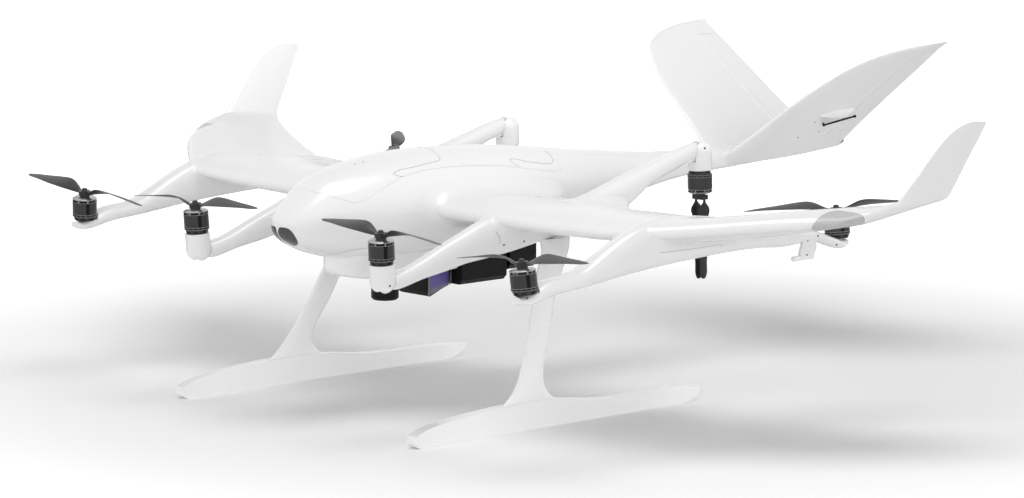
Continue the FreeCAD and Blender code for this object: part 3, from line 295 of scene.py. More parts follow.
# Finish: (name, colour setting, roughness, ripple scale, ripple height, dust, metallic)
FINISHES = {
    "white": ("White paint", "white", 0.24, 700, 0.05, 0.03, 0.0),
    "satin black": ("Satin black", "module_black", 0.42, 1800, 0.25, 0.06, 0.0),
    "blade": ("Blade plastic", "blade", 0.36, 1500, 0.15, 0.06, 0.0),
    "motor": ("Motor anodising", "motor_dark", 0.34, 2500, 0.1, 0.05, 0.35),
    "metal": ("Machined metal", "metal", 0.26, 3000, 0.12, 0.05, 0.85),
    "cap": ("Cap plastic", "tail_cap", 0.4, 1500, 0.15, 0.05, 0.0),
    "window": ("Window tint", "window", 0.1, 400, 0.02, 0.03, 0.0),
    "battery": ("Battery wrap", "battery", 0.5, 900, 0.3, 0.08, 0.0),
    "lens": ("Frosted lens", "light_lens", 0.5, 2200, 0.35, 0.05, 0.0),
    "seam": ("Seam shade", "seam", 0.7, 1200, 0.2, 0.1, 0.0),
    "panel grey": ("Panel grey", "panel_grey", 0.35, 1600, 0.15, 0.05, 0.0),
}


def finish(key):
    """The material of a finish, made the first time it is asked for."""
    name, setting, *values = FINISHES[key]
    found = bpy.data.materials.get(name)
    if found:
        return found
    material, tree, shader = grained_material(name, getattr(bpy.context.scene.drone_paints, setting), *values)
    if key in ("white", "window", "lens"):
        shader.inputs["Coat Weight"].default_value = 0.5
        shader.inputs["Coat Roughness"].default_value = 0.08
    if key == "satin black":
        shader.inputs["Specular IOR Level"].default_value = 0.2
    return material


def panel_paint(low, high, slope):
    """Violet at the top of the panel, fading to grey at its foot, along a line that climbs towards the tail."""
    paints = bpy.context.scene.drone_paints
    material, tree, shader = grained_material("Violet panel", paints.violet, 0.32, 1600, 0.1)
    grain = shader.inputs["Base Color"].links[0].from_node
    level = tree.nodes.new("ShaderNodeVectorMath")
    level.operation = "DOT_PRODUCT"
    level.inputs[1].default_value = (0, -slope, 1)
    tree.links.new(object_coordinates(tree), level.inputs[0])
    fade = tree.nodes.new("ShaderNodeMapRange")
    fade.interpolation_type = "SMOOTHSTEP"
    fade.inputs["From Min"].default_value = low
    fade.inputs["From Max"].default_value = high
    tree.links.new(level.outputs["Value"], fade.inputs["Value"])
    blend = tree.nodes.new("ShaderNodeMix")
    blend.data_type = "RGBA"
    blend.inputs["A"].default_value = (*paints.panel_grey, 1)
    blend.inputs["B"].default_value = (*paints.violet, 1)
    tree.links.new(fade.outputs["Result"], blend.inputs["Factor"])
    tree.links.new(blend.outputs["Result"], grain.inputs["Colour"])
    return material


def paint_node(name, material):
    """Give a CAD node one material."""
    node = frame["nodes"][name]
    node.data.materials.clear()
    node.data.materials.append(material)


# Mesh helpers

class Shape:
    """Collects faces for one piece and makes its object."""

    def __init__(self):
        self.points, self.faces, self.slots = [], [], []

    def add(self, points, faces, slot=0):
        start = len(self.points)
        self.points += [Vector(point) for point in points]
        self.faces += [[start + index for index in face] for face in faces]
        self.slots += [slot] * len(faces)

    def box(self, low, high, place, slot):
        corners = [place @ Vector((x, y, z)) for x in (low[0], high[0]) for y in (low[1], high[1])
                   for z in (low[2], high[2])]
        faces = ((0, 1, 3, 2), (4, 6, 7, 5), (0, 4, 5, 1), (2, 3, 7, 6), (0, 2, 6, 4), (1, 5, 7, 3))
        self.add(corners, faces, slot)

    def prism(self, outline, low, high):
        """A flat plate between two X values, with its outline given as (y, z)."""
        count = len(outline)
        points = [(x, y, z) for x in (low, high) for y, z in outline]
        faces = [(k, (k + 1) % count, count + (k + 1) % count, count + k) for k in range(count)]
        self.add(points, faces + [tuple(range(count)), tuple(range(count, 2 * count))])

    def ring(self, profile, place, segments=56):
        """Turn a closed profile of (radius, height) round the Z of place; it stays off the axis."""
        count = len(profile)
        points = [place @ Vector((radius * math.cos(turn), radius * math.sin(turn), height))
                  for turn in (2 * math.pi * k / segments for k in range(segments)) for radius, height in profile]
        faces = [(k * count + i, ((k + 1) % segments) * count + i, ((k + 1) % segments) * count + (i + 1) % count,
                  k * count + (i + 1) % count) for k in range(segments) for i in range(count)]
        self.add(points, faces)

    def disc(self, profile, place, segments=56):
        """Turn an open profile of (radius, height) round Z and close it with a flat face at each end."""
        count = len(profile)
        points = [place @ Vector((radius * math.cos(turn), radius * math.sin(turn), height))
                  for turn in (2 * math.pi * k / segments for k in range(segments)) for radius, height in profile]
        faces = [(k * count + i, ((k + 1) % segments) * count + i, ((k + 1) % segments) * count + i + 1,
                  k * count + i + 1) for k in range(segments) for i in range(count - 1)]
        faces += [[k * count for k in range(segments)], [k * count + count - 1 for k in range(segments)]]
        self.add(points, faces)

    def bead(self, path, normals, width, lift, depth):
        """A thin bar along a path that lies on a surface."""
        points, count = [], len(path)
        for k, (point, normal) in enumerate(zip(path, normals)):
            before, after = path[max(k - 1, 0)], path[min(k + 1, count - 1)]
            across = (after - before).cross(normal).normalized() * width / 2
            points += [point + across + normal * lift, point - across + normal * lift,
                       point - across - normal * depth, point + across - normal * depth]
        faces = [(4 * k + i, 4 * k + (i + 1) % 4, 4 * (k + 1) + (i + 1) % 4, 4 * (k + 1) + i)
                 for k in range(count - 1) for i in range(4)]
        self.add(points, faces + [(3, 2, 1, 0), tuple(4 * (count - 1) + i for i in range(4))])

    def object(self, name, body, materials):
        """Make the piece, with its faces turned outwards, riding on a CAD body."""
        mesh = bpy.data.meshes.new(name)
        mesh.from_pydata([tuple(point) for point in self.points], [], self.faces)
        for material in materials:
            mesh.materials.append(material)
        mesh.polygons.foreach_set("material_index", self.slots)
        shape = bmesh.new()
        shape.from_mesh(mesh)
        bmesh.ops.recalc_face_normals(shape, faces=shape.faces)
        shape.to_mesh(mesh)
        shape.free()
        return piece(name, mesh, body)


def piece(name, mesh, body, smooth_angle=35):
    """An object at the origin for a finished mesh, riding on a CAD body."""
    mesh.polygons.foreach_set("use_smooth", [True] * len(mesh.polygons))
    mesh.set_sharp_from_angle(angle=math.radians(smooth_angle))
    made = bpy.data.objects.new(name, mesh)
    bpy.context.collection.objects.link(made)
    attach(made, body)
    return made


class Surface:
    """The outer skin of one CAD node and of the blends that lie over it."""
    REACH = 0.02

    def __init__(self, node):
        meshes = [frame["nodes"][node].data]
        if body_of(node) == "airframe":
            meshes += [item.data for item in bpy.data.objects if "_blend_" in item.name]
        self.trees = [BVHTree.FromPolygons([v.co for v in mesh.vertices], [tuple(p.vertices) for p in mesh.polygons])
                      for mesh in meshes]

    def nearest(self, point):
        """The outermost of the nearest points, with its normal."""
        place, outward, index, distance = self.trees[0].find_nearest(Vector(point))
        best = place, outward
        for tree in self.trees[1:]:
            other, normal, index, distance = tree.find_nearest(place)
            if distance < self.REACH and (other - best[0]).dot(outward) > 0 and normal.dot(outward) > 0:
                best = other, normal
        return best


def smooth_line(points, step):
    """Points about a step apart on a curve through the given ones."""
    points = [Vector(point) for point in points]
    result = []
    for k in range(len(points) - 1):
        a = points[max(k - 1, 0)]
        b, c = points[k], points[k + 1]
        d = points[min(k + 2, len(points) - 1)]
        count = max(1, round((c - b).length / step))
        reach = (c - b).length / 3
        first = b + (c - a).normalized() * reach
        second = c - (d - b).normalized() * reach
        for i in range(count):
            t = i / count
            s = 1 - t
            result.append(b * s ** 3 + first * 3 * s * s * t + second * 3 * s * t * t + c * t ** 3)
    return result + [points[-1]]


def mirror(points, side):
    return [Vector((side * x, y, z)) for x, y, z in points]


def body_of(node):
    """The CAD body that holds a node."""
    for body, nodes in frame["record"]["behaviour"]["bodies"].items():
        if node in nodes:
            return body
    raise ValueError(f"no body holds {node}")


def facing_place(origin, up):
    """A matrix whose Z is up, with its X kept near the wing."""
    z = Vector(up).normalized()
    x = Vector((1, 0, 0))
    x = (x - z * x.dot(z)).normalized()
    turn = Matrix((x, z.cross(x), z)).transposed().to_4x4()
    return Matrix.Translation(origin) @ turn


# Geometry node trees

def node_tree(name, sockets):
    """A geometry node tree with its inputs named."""
    tree = bpy.data.node_groups.new(name, "GeometryNodeTree")
    tree.interface.new_socket("Geometry", in_out="INPUT", socket_type="NodeSocketGeometry")
    for socket_name, kind, default in sockets:
        socket = tree.interface.new_socket(socket_name, in_out="INPUT", socket_type=kind)
        if default is not None:
            socket.default_value = default
    tree.interface.new_socket("Geometry", in_out="OUTPUT", socket_type="NodeSocketGeometry")
    return tree, tree.nodes.new("NodeGroupInput"), tree.nodes.new("NodeGroupOutput")


def screw_tree():
    """A low head with a hexagon socket on each point, turned along the attribute called facing."""
    tree, start, end = node_tree("Screws", (
        ("Radius", "NodeSocketFloat", 0.002), ("Height", "NodeSocketFloat", 0.0008),
        ("Head", "NodeSocketMaterial", None), ("Socket", "NodeSocketMaterial", None)))
    nodes, links = tree.nodes, tree.links
    facing = nodes.new("GeometryNodeInputNamedAttribute")
    facing.data_type = "FLOAT_VECTOR"
    facing.inputs["Name"].default_value = "facing"
    turn = nodes.new("FunctionNodeAlignRotationToVector")
    turn.axis = "Z"
    links.new(facing.outputs["Attribute"], turn.inputs["Vector"])
    join = nodes.new("GeometryNodeJoinGeometry")
    for material, share, rise, corners in (("Head", 1.0, 1.0, 20), ("Socket", 0.5, 1.15, 6)):
        radius = nodes.new("ShaderNodeMath")
        radius.operation = "MULTIPLY"
        radius.inputs[1].default_value = share
        links.new(start.outputs["Radius"], radius.inputs[0])
        height = nodes.new("ShaderNodeMath")
        height.operation = "MULTIPLY"
        height.inputs[1].default_value = rise
        links.new(start.outputs["Height"], height.inputs[0])
        head = nodes.new("GeometryNodeMeshCylinder")
        head.inputs["Vertices"].default_value = corners
        links.new(radius.outputs[0], head.inputs["Radius"])
        links.new(height.outputs[0], head.inputs["Depth"])
        place = nodes.new("GeometryNodeInstanceOnPoints")
        links.new(start.outputs["Geometry"], place.inputs["Points"])
        links.new(head.outputs["Mesh"], place.inputs["Instance"])
        links.new(turn.outputs["Rotation"], place.inputs["Rotation"])
        real = nodes.new("GeometryNodeRealizeInstances")
        links.new(place.outputs["Instances"], real.inputs["Geometry"])
        dress = nodes.new("GeometryNodeSetMaterial")
        links.new(real.outputs["Geometry"], dress.inputs["Geometry"])
        links.new(start.outputs[material], dress.inputs["Material"])
        links.new(dress.outputs["Geometry"], join.inputs["Geometry"])
    links.new(join.outputs["Geometry"], end.inputs["Geometry"])
    return tree


def spoke_tree():
    """Blocks spaced evenly round a ring in the XY plane."""
    tree, start, end = node_tree("Spokes", (
        ("Count", "NodeSocketInt", 8), ("Radius", "NodeSocketFloat", 0.024), ("Size", "NodeSocketVector", None),
        ("Metal", "NodeSocketMaterial", None)))
    nodes, links = tree.nodes, tree.links
    circle = nodes.new("GeometryNodeMeshCircle")
    links.new(start.outputs["Count"], circle.inputs["Vertices"])
    links.new(start.outputs["Radius"], circle.inputs["Radius"])
    position = nodes.new("GeometryNodeInputPosition")
    turn = nodes.new("FunctionNodeAlignRotationToVector")
    turn.axis = "X"
    turn.pivot_axis = "Z"
    links.new(position.outputs["Position"], turn.inputs["Vector"])
    block = nodes.new("GeometryNodeMeshCube")
    links.new(start.outputs["Size"], block.inputs["Size"])
    place = nodes.new("GeometryNodeInstanceOnPoints")
    links.new(circle.outputs["Mesh"], place.inputs["Points"])
    links.new(block.outputs["Mesh"], place.inputs["Instance"])
    links.new(turn.outputs["Rotation"], place.inputs["Rotation"])
    real = nodes.new("GeometryNodeRealizeInstances")
    links.new(place.outputs["Instances"], real.inputs["Geometry"])
    dress = nodes.new("GeometryNodeSetMaterial")
    links.new(real.outputs["Geometry"], dress.inputs["Geometry"])
    links.new(start.outputs["Metal"], dress.inputs["Material"])
    links.new(dress.outputs["Geometry"], end.inputs["Geometry"])
    return tree


def run_tree(tree, mesh, values, place=Matrix()):
    """The plain mesh that a tree makes from a mesh, put in its place."""
    holder = bpy.data.objects.new("Tree holder", mesh)
    bpy.context.collection.objects.link(holder)
    modifier = holder.modifiers.new("Tree", "NODES")
    modifier.node_group = tree
    for item in tree.interface.items_tree:
        if item.item_type == "SOCKET" and item.in_out == "INPUT" and item.name in values:
            modifier[item.identifier] = values[item.name]
    bpy.context.view_layer.update()
    result = bpy.data.meshes.new_from_object(holder.evaluated_get(bpy.context.evaluated_depsgraph_get()))
    holder.modifiers.clear()
    bpy.data.objects.remove(holder)
    result.transform(place)
    return result


def joined(meshes):
    """One mesh from several, with their materials kept."""
    whole = Shape()
    materials = []
    for mesh in meshes:
        for material in mesh.materials:
            if material not in materials:
                materials.append(material)
        slots = [materials.index(material) for material in mesh.materials]
        start = len(whole.faces)
        whole.add([v.co for v in mesh.vertices], [tuple(p.vertices) for p in mesh.polygons])
        whole.slots[start:] = [slots[p.material_index] for p in mesh.polygons]
    result = bpy.data.meshes.new("Joined")
    result.from_pydata([tuple(point) for point in whole.points], [], whole.faces)
    for material in materials:
        result.materials.append(material)
    result.polygons.foreach_set("material_index", whole.slots)
    return result


def points_mesh(places, facings):
    """Bare points, each with the direction that its fitting faces."""
    mesh = bpy.data.meshes.new("Points")
    mesh.from_pydata([tuple(place) for place in places], [], [])
    facing = mesh.attributes.new("facing", "FLOAT_VECTOR", "POINT")
    facing.data.foreach_set("vector", [value for normal in facings for value in normal])
    return mesh


# Operators

class DRONE_OT_stage(bpy.types.Operator):
    """Build the pale floor, the soft light and the camera."""
    bl_idname = "drone.stage"
    bl_label = "Stage"

    def execute(self, context):
        studio = context.scene.drone_studio
        self.floor(studio)
        self.world(context, studio)
        self.lamp(context, studio)
        self.camera(context, studio)
        context.scene.view_settings.view_transform = "Standard"
        return {"FINISHED"}

    def floor(self, studio):
        mesh = bpy.data.meshes.new("Floor")
        shape = bmesh.new()
        bmesh.ops.create_circle(shape, cap_ends=True, segments=96, radius=studio.floor_radius)
        shape.to_mesh(mesh)
        shape.free()
        floor = bpy.data.objects.new("Floor", mesh)
        bpy.context.collection.objects.link(floor)
        material, tree, shader = new_material("Floor white")
        shader.inputs["Base Color"].default_value = (0.95, 0.95, 0.95, 1)
        shader.inputs["Roughness"].default_value = 0.9
        shader.inputs["Specular IOR Level"].default_value = 0.1
        shader.inputs["Emission Color"].default_value = (1, 1, 1, 1)
        path = tree.nodes.new("ShaderNodeLightPath")
        distance = tree.nodes.new("ShaderNodeVectorMath")
        distance.operation = "LENGTH"
        tree.links.new(object_coordinates(tree), distance.inputs[0])
        fade = tree.nodes.new("ShaderNodeMapRange")
        fade.interpolation_type = "SMOOTHSTEP"
        fade.inputs["From Min"].default_value = 0.5
        fade.inputs["From Max"].default_value = 2.6
        fade.inputs["To Min"].default_value = 0.0
        fade.inputs["To Max"].default_value = 0.8
        tree.links.new(distance.outputs["Value"], fade.inputs["Value"])
        seen = tree.nodes.new("ShaderNodeMath")
        seen.operation = "MULTIPLY"
        tree.links.new(fade.outputs["Result"], seen.inputs[0])
        tree.links.new(path.outputs["Is Camera Ray"], seen.inputs[1])
        tree.links.new(seen.outputs[0], shader.inputs["Emission Strength"])
        mesh.materials.append(material)

    def world(self, context, studio):
        """Soft light that is stronger low down, and plain white behind the object."""
        world = bpy.data.worlds.new("Studio")
        context.scene.world = world
        world.use_nodes = True
        tree = world.node_tree
        background = tree.nodes["Background"]
        background.inputs["Color"].default_value = (1, 1, 1, 1)
        direction = tree.nodes.new("ShaderNodeSeparateXYZ")
        tree.links.new(tree.nodes.new("ShaderNodeTexCoord").outputs["Generated"], direction.inputs[0])
        climb = tree.nodes.new("ShaderNodeMapRange")
        climb.inputs["From Max"].default_value = 0.55
        climb.inputs["To Min"].default_value = studio.horizon
        climb.inputs["To Max"].default_value = studio.zenith
        tree.links.new(direction.outputs["Z"], climb.inputs["Value"])
        path = tree.nodes.new("ShaderNodeLightPath")
        direct = tree.nodes.new("ShaderNodeMath")
        direct.operation = "MAXIMUM"
        tree.links.new(path.outputs["Is Camera Ray"], direct.inputs[0])
        tree.links.new(path.outputs["Is Transmission Ray"], direct.inputs[1])
        seen = tree.nodes.new("ShaderNodeMath")
        seen.operation = "MAXIMUM"
        tree.links.new(direct.outputs[0], seen.inputs[0])
        tree.links.new(path.outputs["Is Glossy Ray"], seen.inputs[1])
        strength = tree.nodes.new("ShaderNodeMix")
        strength.data_type = "FLOAT"
        strength.inputs["B"].default_value = 1.0
        tree.links.new(seen.outputs[0], strength.inputs["Factor"])
        tree.links.new(climb.outputs["Result"], strength.inputs["A"])
        tree.links.new(strength.outputs["Result"], background.inputs["Strength"])

    def lamp(self, context, studio):
        lamp = bpy.data.lights.new("Overhead soft box", "AREA")
        lamp.shape = "RECTANGLE"
        lamp.size, lamp.size_y = 2.0, 1.5
        lamp.energy = studio.lamp_power
        holder = bpy.data.objects.new("Overhead soft box", lamp)
        holder.location = (0.45, -0.5, 3.0)
        holder.rotation_euler = (Vector((0, -0.1, 0.3)) - holder.location).to_track_quat("-Z", "Y").to_euler()
        context.collection.objects.link(holder)

    def camera(self, context, studio):
        a, e, r = studio.camera_azimuth, studio.camera_elevation, studio.camera_roll
        back = Vector((math.sin(a) * math.cos(e), -math.cos(a) * math.cos(e), math.sin(e)))
        right = Vector((math.cos(a), math.sin(a), 0))
        up = back.cross(right)
        rolled_right = right * math.cos(r) - up * math.sin(r)
        rolled_up = right * math.sin(r) + up * math.cos(r)
        turn = Matrix((rolled_right, rolled_up, back)).transposed()
        data = bpy.data.cameras.new("Camera")
        data.lens = studio.lens
        data.sensor_width = 36
        data.clip_start, data.clip_end = 0.1, 200
        camera = bpy.data.objects.new("Camera", data)
        camera.matrix_world = Matrix.Translation(studio.camera_place) @ turn.to_4x4()
        context.collection.objects.link(camera)
        context.scene.camera = camera


class DRONE_OT_paint(bpy.types.Operator):
    """Give every CAD node its finish."""
    bl_idname = "drone.paint"
    bl_label = "Paint"

    BEGINNINGS = (
        (("propeller_", "blade_", "fold_hub"), "blade"),
        (("bell_", "motor_base", "outer_motor"), "motor"),
        (("cargo_", "push_rods", "sensor_can"), "satin black"),
        (("tail_cap",), "cap"),
        (("nose_window",), "window"),
        (("battery_block",), "battery"),
        (("position_lights",), "lens"),
    )

    def execute(self, context):
        for name in frame["nodes"]:
            key = next((key for starts, key in self.BEGINNINGS if name.startswith(starts)), "white")
            paint_node(name, finish(key))
        return {"FINISHED"}


class DRONE_OT_blends(bpy.types.Operator):
    """Fair the corners where wing, arms, booms and fins meet the fuselage."""
    bl_idname = "drone.blends"
    bl_label = "Blends"

    def execute(self, context):
        sizes = context.scene.drone_fittings
        for name, nodes, low, high, voxel, rounds in BLENDS:
            left = self.smoothed(sizes, nodes, Vector(low), Vector(high), voxel, rounds)
            right = left.copy()
            right.transform(Matrix.Scale(-1, 4, (1, 0, 0)))
            right.flip_normals()
            for mesh, word in ((left, "left"), (right, "right")):
                mesh.materials.clear()
                mesh.materials.append(finish("white"))
                made = piece(f"{name}_{word}", mesh, "airframe", 180)
                wall = made.modifiers.new("Wall", "SOLIDIFY")
                wall.thickness = 2 * sizes.blend_sink
                wall.offset = -1
        return {"FINISHED"}

    def smoothed(self, sizes, nodes, low, high, voxel, rounds):
        """The nodes as one skin, cut to the region and smoothed so that its corners fill."""
        whole = joined([frame["nodes"][node].data for node in nodes])
        shape = bmesh.new()
        shape.from_mesh(whole)
        bmesh.ops.remove_doubles(shape, verts=shape.verts, dist=0.00001)
        shape.to_mesh(whole)
        shape.free()
        holder = bpy.data.objects.new("Blend holder", whole)
        bpy.context.collection.objects.link(holder)
        remesh = holder.modifiers.new("Skin", "REMESH")
        remesh.mode = "VOXEL"
        remesh.voxel_size = voxel
        bpy.context.view_layer.update()
        skin = bpy.data.meshes.new_from_object(holder.evaluated_get(bpy.context.evaluated_depsgraph_get()))
        bpy.data.objects.remove(holder)
        shape = bmesh.new()
        shape.from_mesh(skin)
        outside = [v for v in shape.verts if any(v.co[i] < low[i] or v.co[i] > high[i] for i in range(3))]
        bmesh.ops.delete(shape, geom=outside, context="VERTS")
        shape.to_mesh(skin)
        shape.free()
        self.relax(skin, np.array(low), np.array(high), rounds)
        shape = bmesh.new()
        shape.from_mesh(skin)
        shape.normal_update()
        for vertex in shape.verts:
            vertex.co -= vertex.normal * sizes.blend_sink
        shape.to_mesh(skin)
        shape.free()
        return skin

    def relax(self, skin, low, high, rounds):
        """Move each point towards the middle of its neighbours, but never below the skin it starts on, and less
        near the region's faces, so that only hollow corners fill."""
        count = len(skin.vertices)
        points = np.empty(3 * count)
        skin.vertices.foreach_get("co", points)
        points = points.reshape(-1, 3)
        start = points.copy()
        outward = np.empty(3 * count)
        skin.vertices.foreach_get("normal", outward)
        outward = outward.reshape(-1, 3)
        ends = np.empty(2 * len(skin.edges), int)
        skin.edges.foreach_get("vertices", ends)
        ends = ends.reshape(-1, 2)
        inset = np.minimum(points - low, high - points) / (BLEND_EDGE * (high - low))
        inset[points[:, 0] < low[0] + BLEND_EDGE * (high[0] - low[0]), 0] = 1
        weight = np.clip(inset.min(1), 0, 1)
        weight = (weight * weight * (3 - 2 * weight) * 0.6)[:, None]
        neighbours = np.bincount(ends.ravel(), minlength=count)[:, None]
        for _ in range(rounds):
            total = np.zeros_like(points)
            for axis in range(3):
                total[:, axis] = (np.bincount(ends[:, 0], points[ends[:, 1], axis], count)
                                  + np.bincount(ends[:, 1], points[ends[:, 0], axis], count))
            points += weight * (total / np.maximum(neighbours, 1) - points)
            rise = ((points - start) * outward).sum(1, keepdims=True)
            points -= outward * np.minimum(rise, 0)
        skin.vertices.foreach_set("co", points.ravel())


class DRONE_OT_seams(bpy.types.Operator):
    """Lay the hairline seams of the shell, the lids, the booms and the arms."""
    bl_idname = "drone.seams"
    bl_label = "Seams"

    def execute(self, context):
        for name, node, over_middle, points in SEAMS:
            if over_middle:
                whole = list(points) + [(-x, y, z) for x, y, z in reversed(points)]
                self.lay(context, name, node, whole)
                continue
            for side, word in SIDES:
                self.lay(context, f"{name}_{word}", f"{node}_{word}", mirror(points, side))
        return {"FINISHED"}

    def lay(self, context, name, node, points):
        sizes = context.scene.drone_fittings
        surface = Surface(node)
        found = [surface.nearest(point) for point in smooth_line(points, sizes.seam_step)]
        kept = [found[0]]
        for place, normal in found[1:]:
            if (place - kept[-1][0]).length > sizes.seam_step / 3:
                kept.append((place, normal))
        bead = Shape()
        bead.bead([place for place, normal in kept], [normal for place, normal in kept], sizes.seam_width,
                  sizes.seam_lift, 3 * sizes.seam_lift)
        bead.object(name, body_of(node), [finish("seam")])


class DRONE_OT_root_fittings(bpy.types.Operator):
    """Set a flat black disc of painted shade for the wing's lock hole, and the seam ring round its cap, on top of each
    wing root.
    """
    bl_idname = "drone.root_fittings"
    bl_label = "Root fittings"

    THICK = 0.0004

    def execute(self, context):
        thick = self.THICK
        for side, word in SIDES:
            skin = Surface(f"wing_{word}")
            for name, key, radius, (x, y, z) in ROOT_FITTINGS:
                place, normal = skin.nearest((side * x, y, z))
                seat = facing_place(place, normal)
                fitting = Shape()
                if key == "seam":
                    fitting.ring(((radius - thick, -thick), (radius, -thick), (radius, thick / 2),
                                  (radius - thick, thick / 2)), seat)
                else:
                    # Flat satin black disc on the skin: painted shade for the dark inside of the lock hole
                    fitting.disc(((radius, -thick), (radius, thick / 2), (0.6 * radius, thick / 2)), seat)
                fitting.object(f"{name}_{word}", "airframe", [finish(key)])
        return {"FINISHED"}


class DRONE_OT_screws(bpy.types.Operator):
    """Set the screws of the arms, pods, booms, probe and fins, and the pale studs of the front lid."""
    bl_idname = "drone.screws"
    bl_label = "Screws"

    def execute(self, context):
        sizes = context.scene.drone_fittings
        tree = screw_tree()
        for node, points in SCREWS:
            for side, word in SIDES:
                name = f"{node}_{word}"
                if node in frame["nodes"] and side > 0:
                    name = node
                if name in frame["nodes"]:
                    self.place(tree, name, mirror(points, side), sizes.screw_radius, "satin black", f"screws_{name}")
        self.place(tree, "front_lid", STUDS, sizes.stud_radius, "cap", "studs_front_lid")
        return {"FINISHED"}

    def place(self, tree, node, points, radius, key, name):
        surface = Surface(node)
        found = [surface.nearest(point) for point in points]
        mesh = points_mesh([place for place, normal in found], [normal for place, normal in found])
        made = run_tree(tree, mesh, {"Radius": radius, "Height": 0.25 * radius, "Head": finish(key),
                                     "Socket": finish("satin black")})
        piece(name, made, body_of(node))


class DRONE_OT_motors(bpy.types.Operator):
    """Dress the motors: bright top plate, rims, spokes, foot ring and satin black strips up the wall, a painted dark
    reflection.
    """
    bl_idname = "drone.motors"
    bl_label = "Motors"

    # Degrees round the bell of the satin black strips up its wall, the same on every bell: a painted dark reflection
    DARK_REFLECTION_TURNS = (-28.1, -22.5, -16.9, 151.9, 157.5, 163.1)
    STRIP_HALF = 0.0012
    STRIP_PROUD = 0.0002
    FOOT = 0.0044
    BOSS_RADIUS = 0.0102
    # From the bell's wall in to the edge of its top plate, on the plate's lower and upper face
    PLATE_EDGES = (0.0042, 0.0037)
    # Across, along and up: spokes under the plate, and blocks between the vents at the foot
    SPOKE = (0.0010, 0.0022)
    FOOT_BLOCK = (0.0010, 0.0030, 0.0036)
    FOOT_BLOCK_RISE = 0.0025
    SKIN = 0.0003

    def execute(self, context):
        sizes = context.scene.drone_fittings
        tree = spoke_tree()
        for place_name, reach in SEAT_REACH.items():
            for side, word in SIDES:
                joint = JOINTS[f"spin_{place_name}_{word}"]
                up = Vector(joint["axis"])
                if place_name == UPSIDE_DOWN:
                    up = -up
                seat = facing_place(Vector(joint["pos_m"]) + up * reach, up)
                tag = f"{place_name}_{word}"
                self.rims(sizes, seat, tag)
                self.spokes(sizes, tree, seat, tag)
        return {"FINISHED"}

    def rims(self, sizes, seat, tag):
        outer, top = sizes.motor_radius, sizes.bell_start + sizes.bell_height
        skin, boss, thin = self.SKIN, self.BOSS_RADIUS, 0.0006
        plate_low = top - sizes.plate
        window_low = plate_low - sizes.window_height
        foot_high = sizes.bell_start + self.FOOT
        inner_edge, outer_edge = (outer - edge for edge in self.PLATE_EDGES)
        shape = Shape()
        shape.ring(((boss, top - skin), (inner_edge, top - skin), (outer - 2 * skin, plate_low + thin),
                    (outer - 2 * skin, plate_low), (outer + skin, plate_low), (outer + skin, plate_low + 2 * thin),
                    (outer_edge, top + skin), (boss, top + skin)), seat)
        for low in (window_low - thin, foot_high, sizes.bell_start):
            shape.ring(((outer - skin, low), (outer + skin, low), (outer + skin, low + thin),
                        (outer - skin, low + thin)), seat)
        # Satin black strips up the wall: a painted dark reflection
        for turn in self.DARK_REFLECTION_TURNS:
            bar = seat @ Matrix.Rotation(math.radians(turn), 4, "Z")
            shape.box((outer - skin, -self.STRIP_HALF, foot_high + thin),
                      (outer + self.STRIP_PROUD, self.STRIP_HALF, window_low - thin), bar, 1)
        shape.object(f"motor_trim_{tag}", f"rotor_{tag}", [finish("metal"), finish("satin black")])

    def spokes(self, sizes, tree, seat, tag):
        outer, start = sizes.motor_radius, sizes.bell_start
        window_middle = start + sizes.bell_height - sizes.plate - sizes.window_height / 2
        upper = run_tree(tree, bpy.data.meshes.new("Blank"), {
            "Count": sizes.spokes, "Radius": outer - self.SKIN, "Size": (*self.SPOKE, sizes.window_height),
            "Metal": finish("metal")}, seat @ Matrix.Translation((0, 0, window_middle))
            @ Matrix.Rotation(math.pi / sizes.spokes, 4, "Z"))
        lower = run_tree(tree, bpy.data.meshes.new("Blank"), {
            "Count": 2 * sizes.spokes, "Radius": outer - self.SKIN, "Size": self.FOOT_BLOCK,
            "Metal": finish("satin black")}, seat @ Matrix.Translation((0, 0, start + self.FOOT_BLOCK_RISE)))
        piece(f"motor_spokes_{tag}", joined((upper, lower)), f"rotor_{tag}")


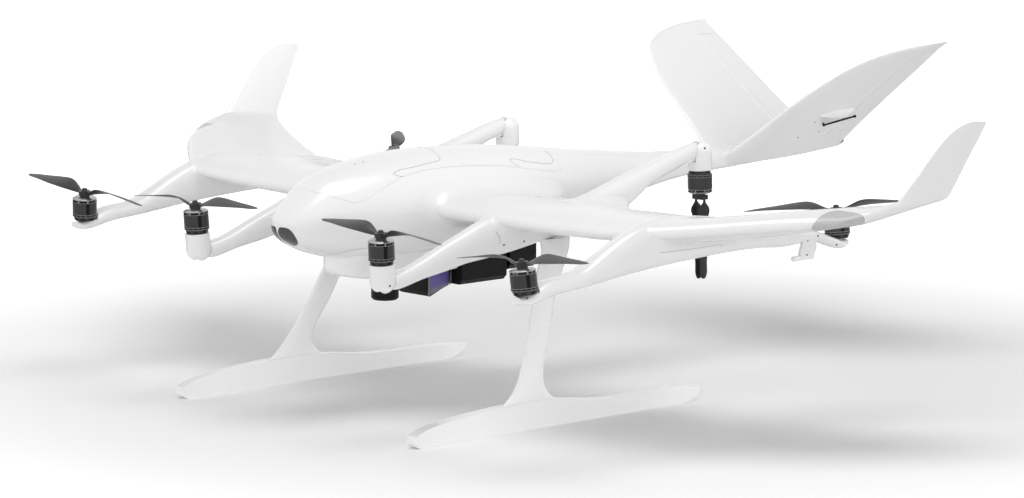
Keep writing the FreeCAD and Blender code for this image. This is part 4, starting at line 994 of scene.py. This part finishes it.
class DRONE_OT_payload(bpy.types.Operator):
    """Build the cargo module's side panels and its pale strips."""
    bl_idname = "drone.payload"
    bl_label = "Payload"

    PANEL = ((-0.4425, 0.2212), (-0.3950, 0.2358), (-0.3950, 0.2636), (-0.4425, 0.2636))
    STRIP = ((-0.3925, 0.2365), (-0.3880, 0.2372), (-0.3850, 0.2636), (-0.3895, 0.2636))

    def execute(self, context):
        violet = panel_paint(0.3060, 0.3165, 0.18)
        lift, proud = 0.0424, 0.0437
        for side, word in SIDES:
            low, high = sorted((side * lift, side * proud))
            panel = Shape()
            panel.prism(self.PANEL, low, high)
            panel.object(f"violet_panel_{word}", "airframe", [violet])
            strip = Shape()
            strip.prism(self.STRIP, low, high)
            front, rear = (-0.4490, -0.4436)
            strip.prism(((front, 0.2200), (rear, 0.2192), (rear, 0.2636), (front, 0.2636)), low, high)
            strip.object(f"module_strips_{word}", "airframe", [finish("panel grey")])
        return {"FINISHED"}


class DRONE_PT_panel(bpy.types.Panel):
    """The drone's operators in the sidebar."""
    bl_label = "Delivery drone"
    bl_space_type = "VIEW_3D"
    bl_region_type = "UI"
    bl_category = "Drone"

    def draw(self, context):
        for operator in OPERATORS:
            self.layout.operator(operator.bl_idname)


OPERATORS = (DRONE_OT_stage, DRONE_OT_paint, DRONE_OT_blends, DRONE_OT_root_fittings, DRONE_OT_seams,
             DRONE_OT_screws, DRONE_OT_motors, DRONE_OT_payload)
GROUPS = (("drone_paints", DronePaints), ("drone_fittings", DroneFittings), ("drone_studio", DroneStudio))


def register():
    for name, group in GROUPS:
        bpy.utils.register_class(group)
        setattr(bpy.types.Scene, name, PointerProperty(type=group))
    for item in (*OPERATORS, DRONE_PT_panel):
        bpy.utils.register_class(item)


def unregister():
    for item in reversed((*OPERATORS, DRONE_PT_panel)):
        bpy.utils.unregister_class(item)
    for name, group in reversed(GROUPS):
        delattr(bpy.types.Scene, name)
        bpy.utils.unregister_class(group)


def main():
    register()
    for operator in OPERATORS:
        group, name = operator.bl_idname.split(".")
        getattr(getattr(bpy.ops, group), name)()


if __name__ == "__main__":
    main()
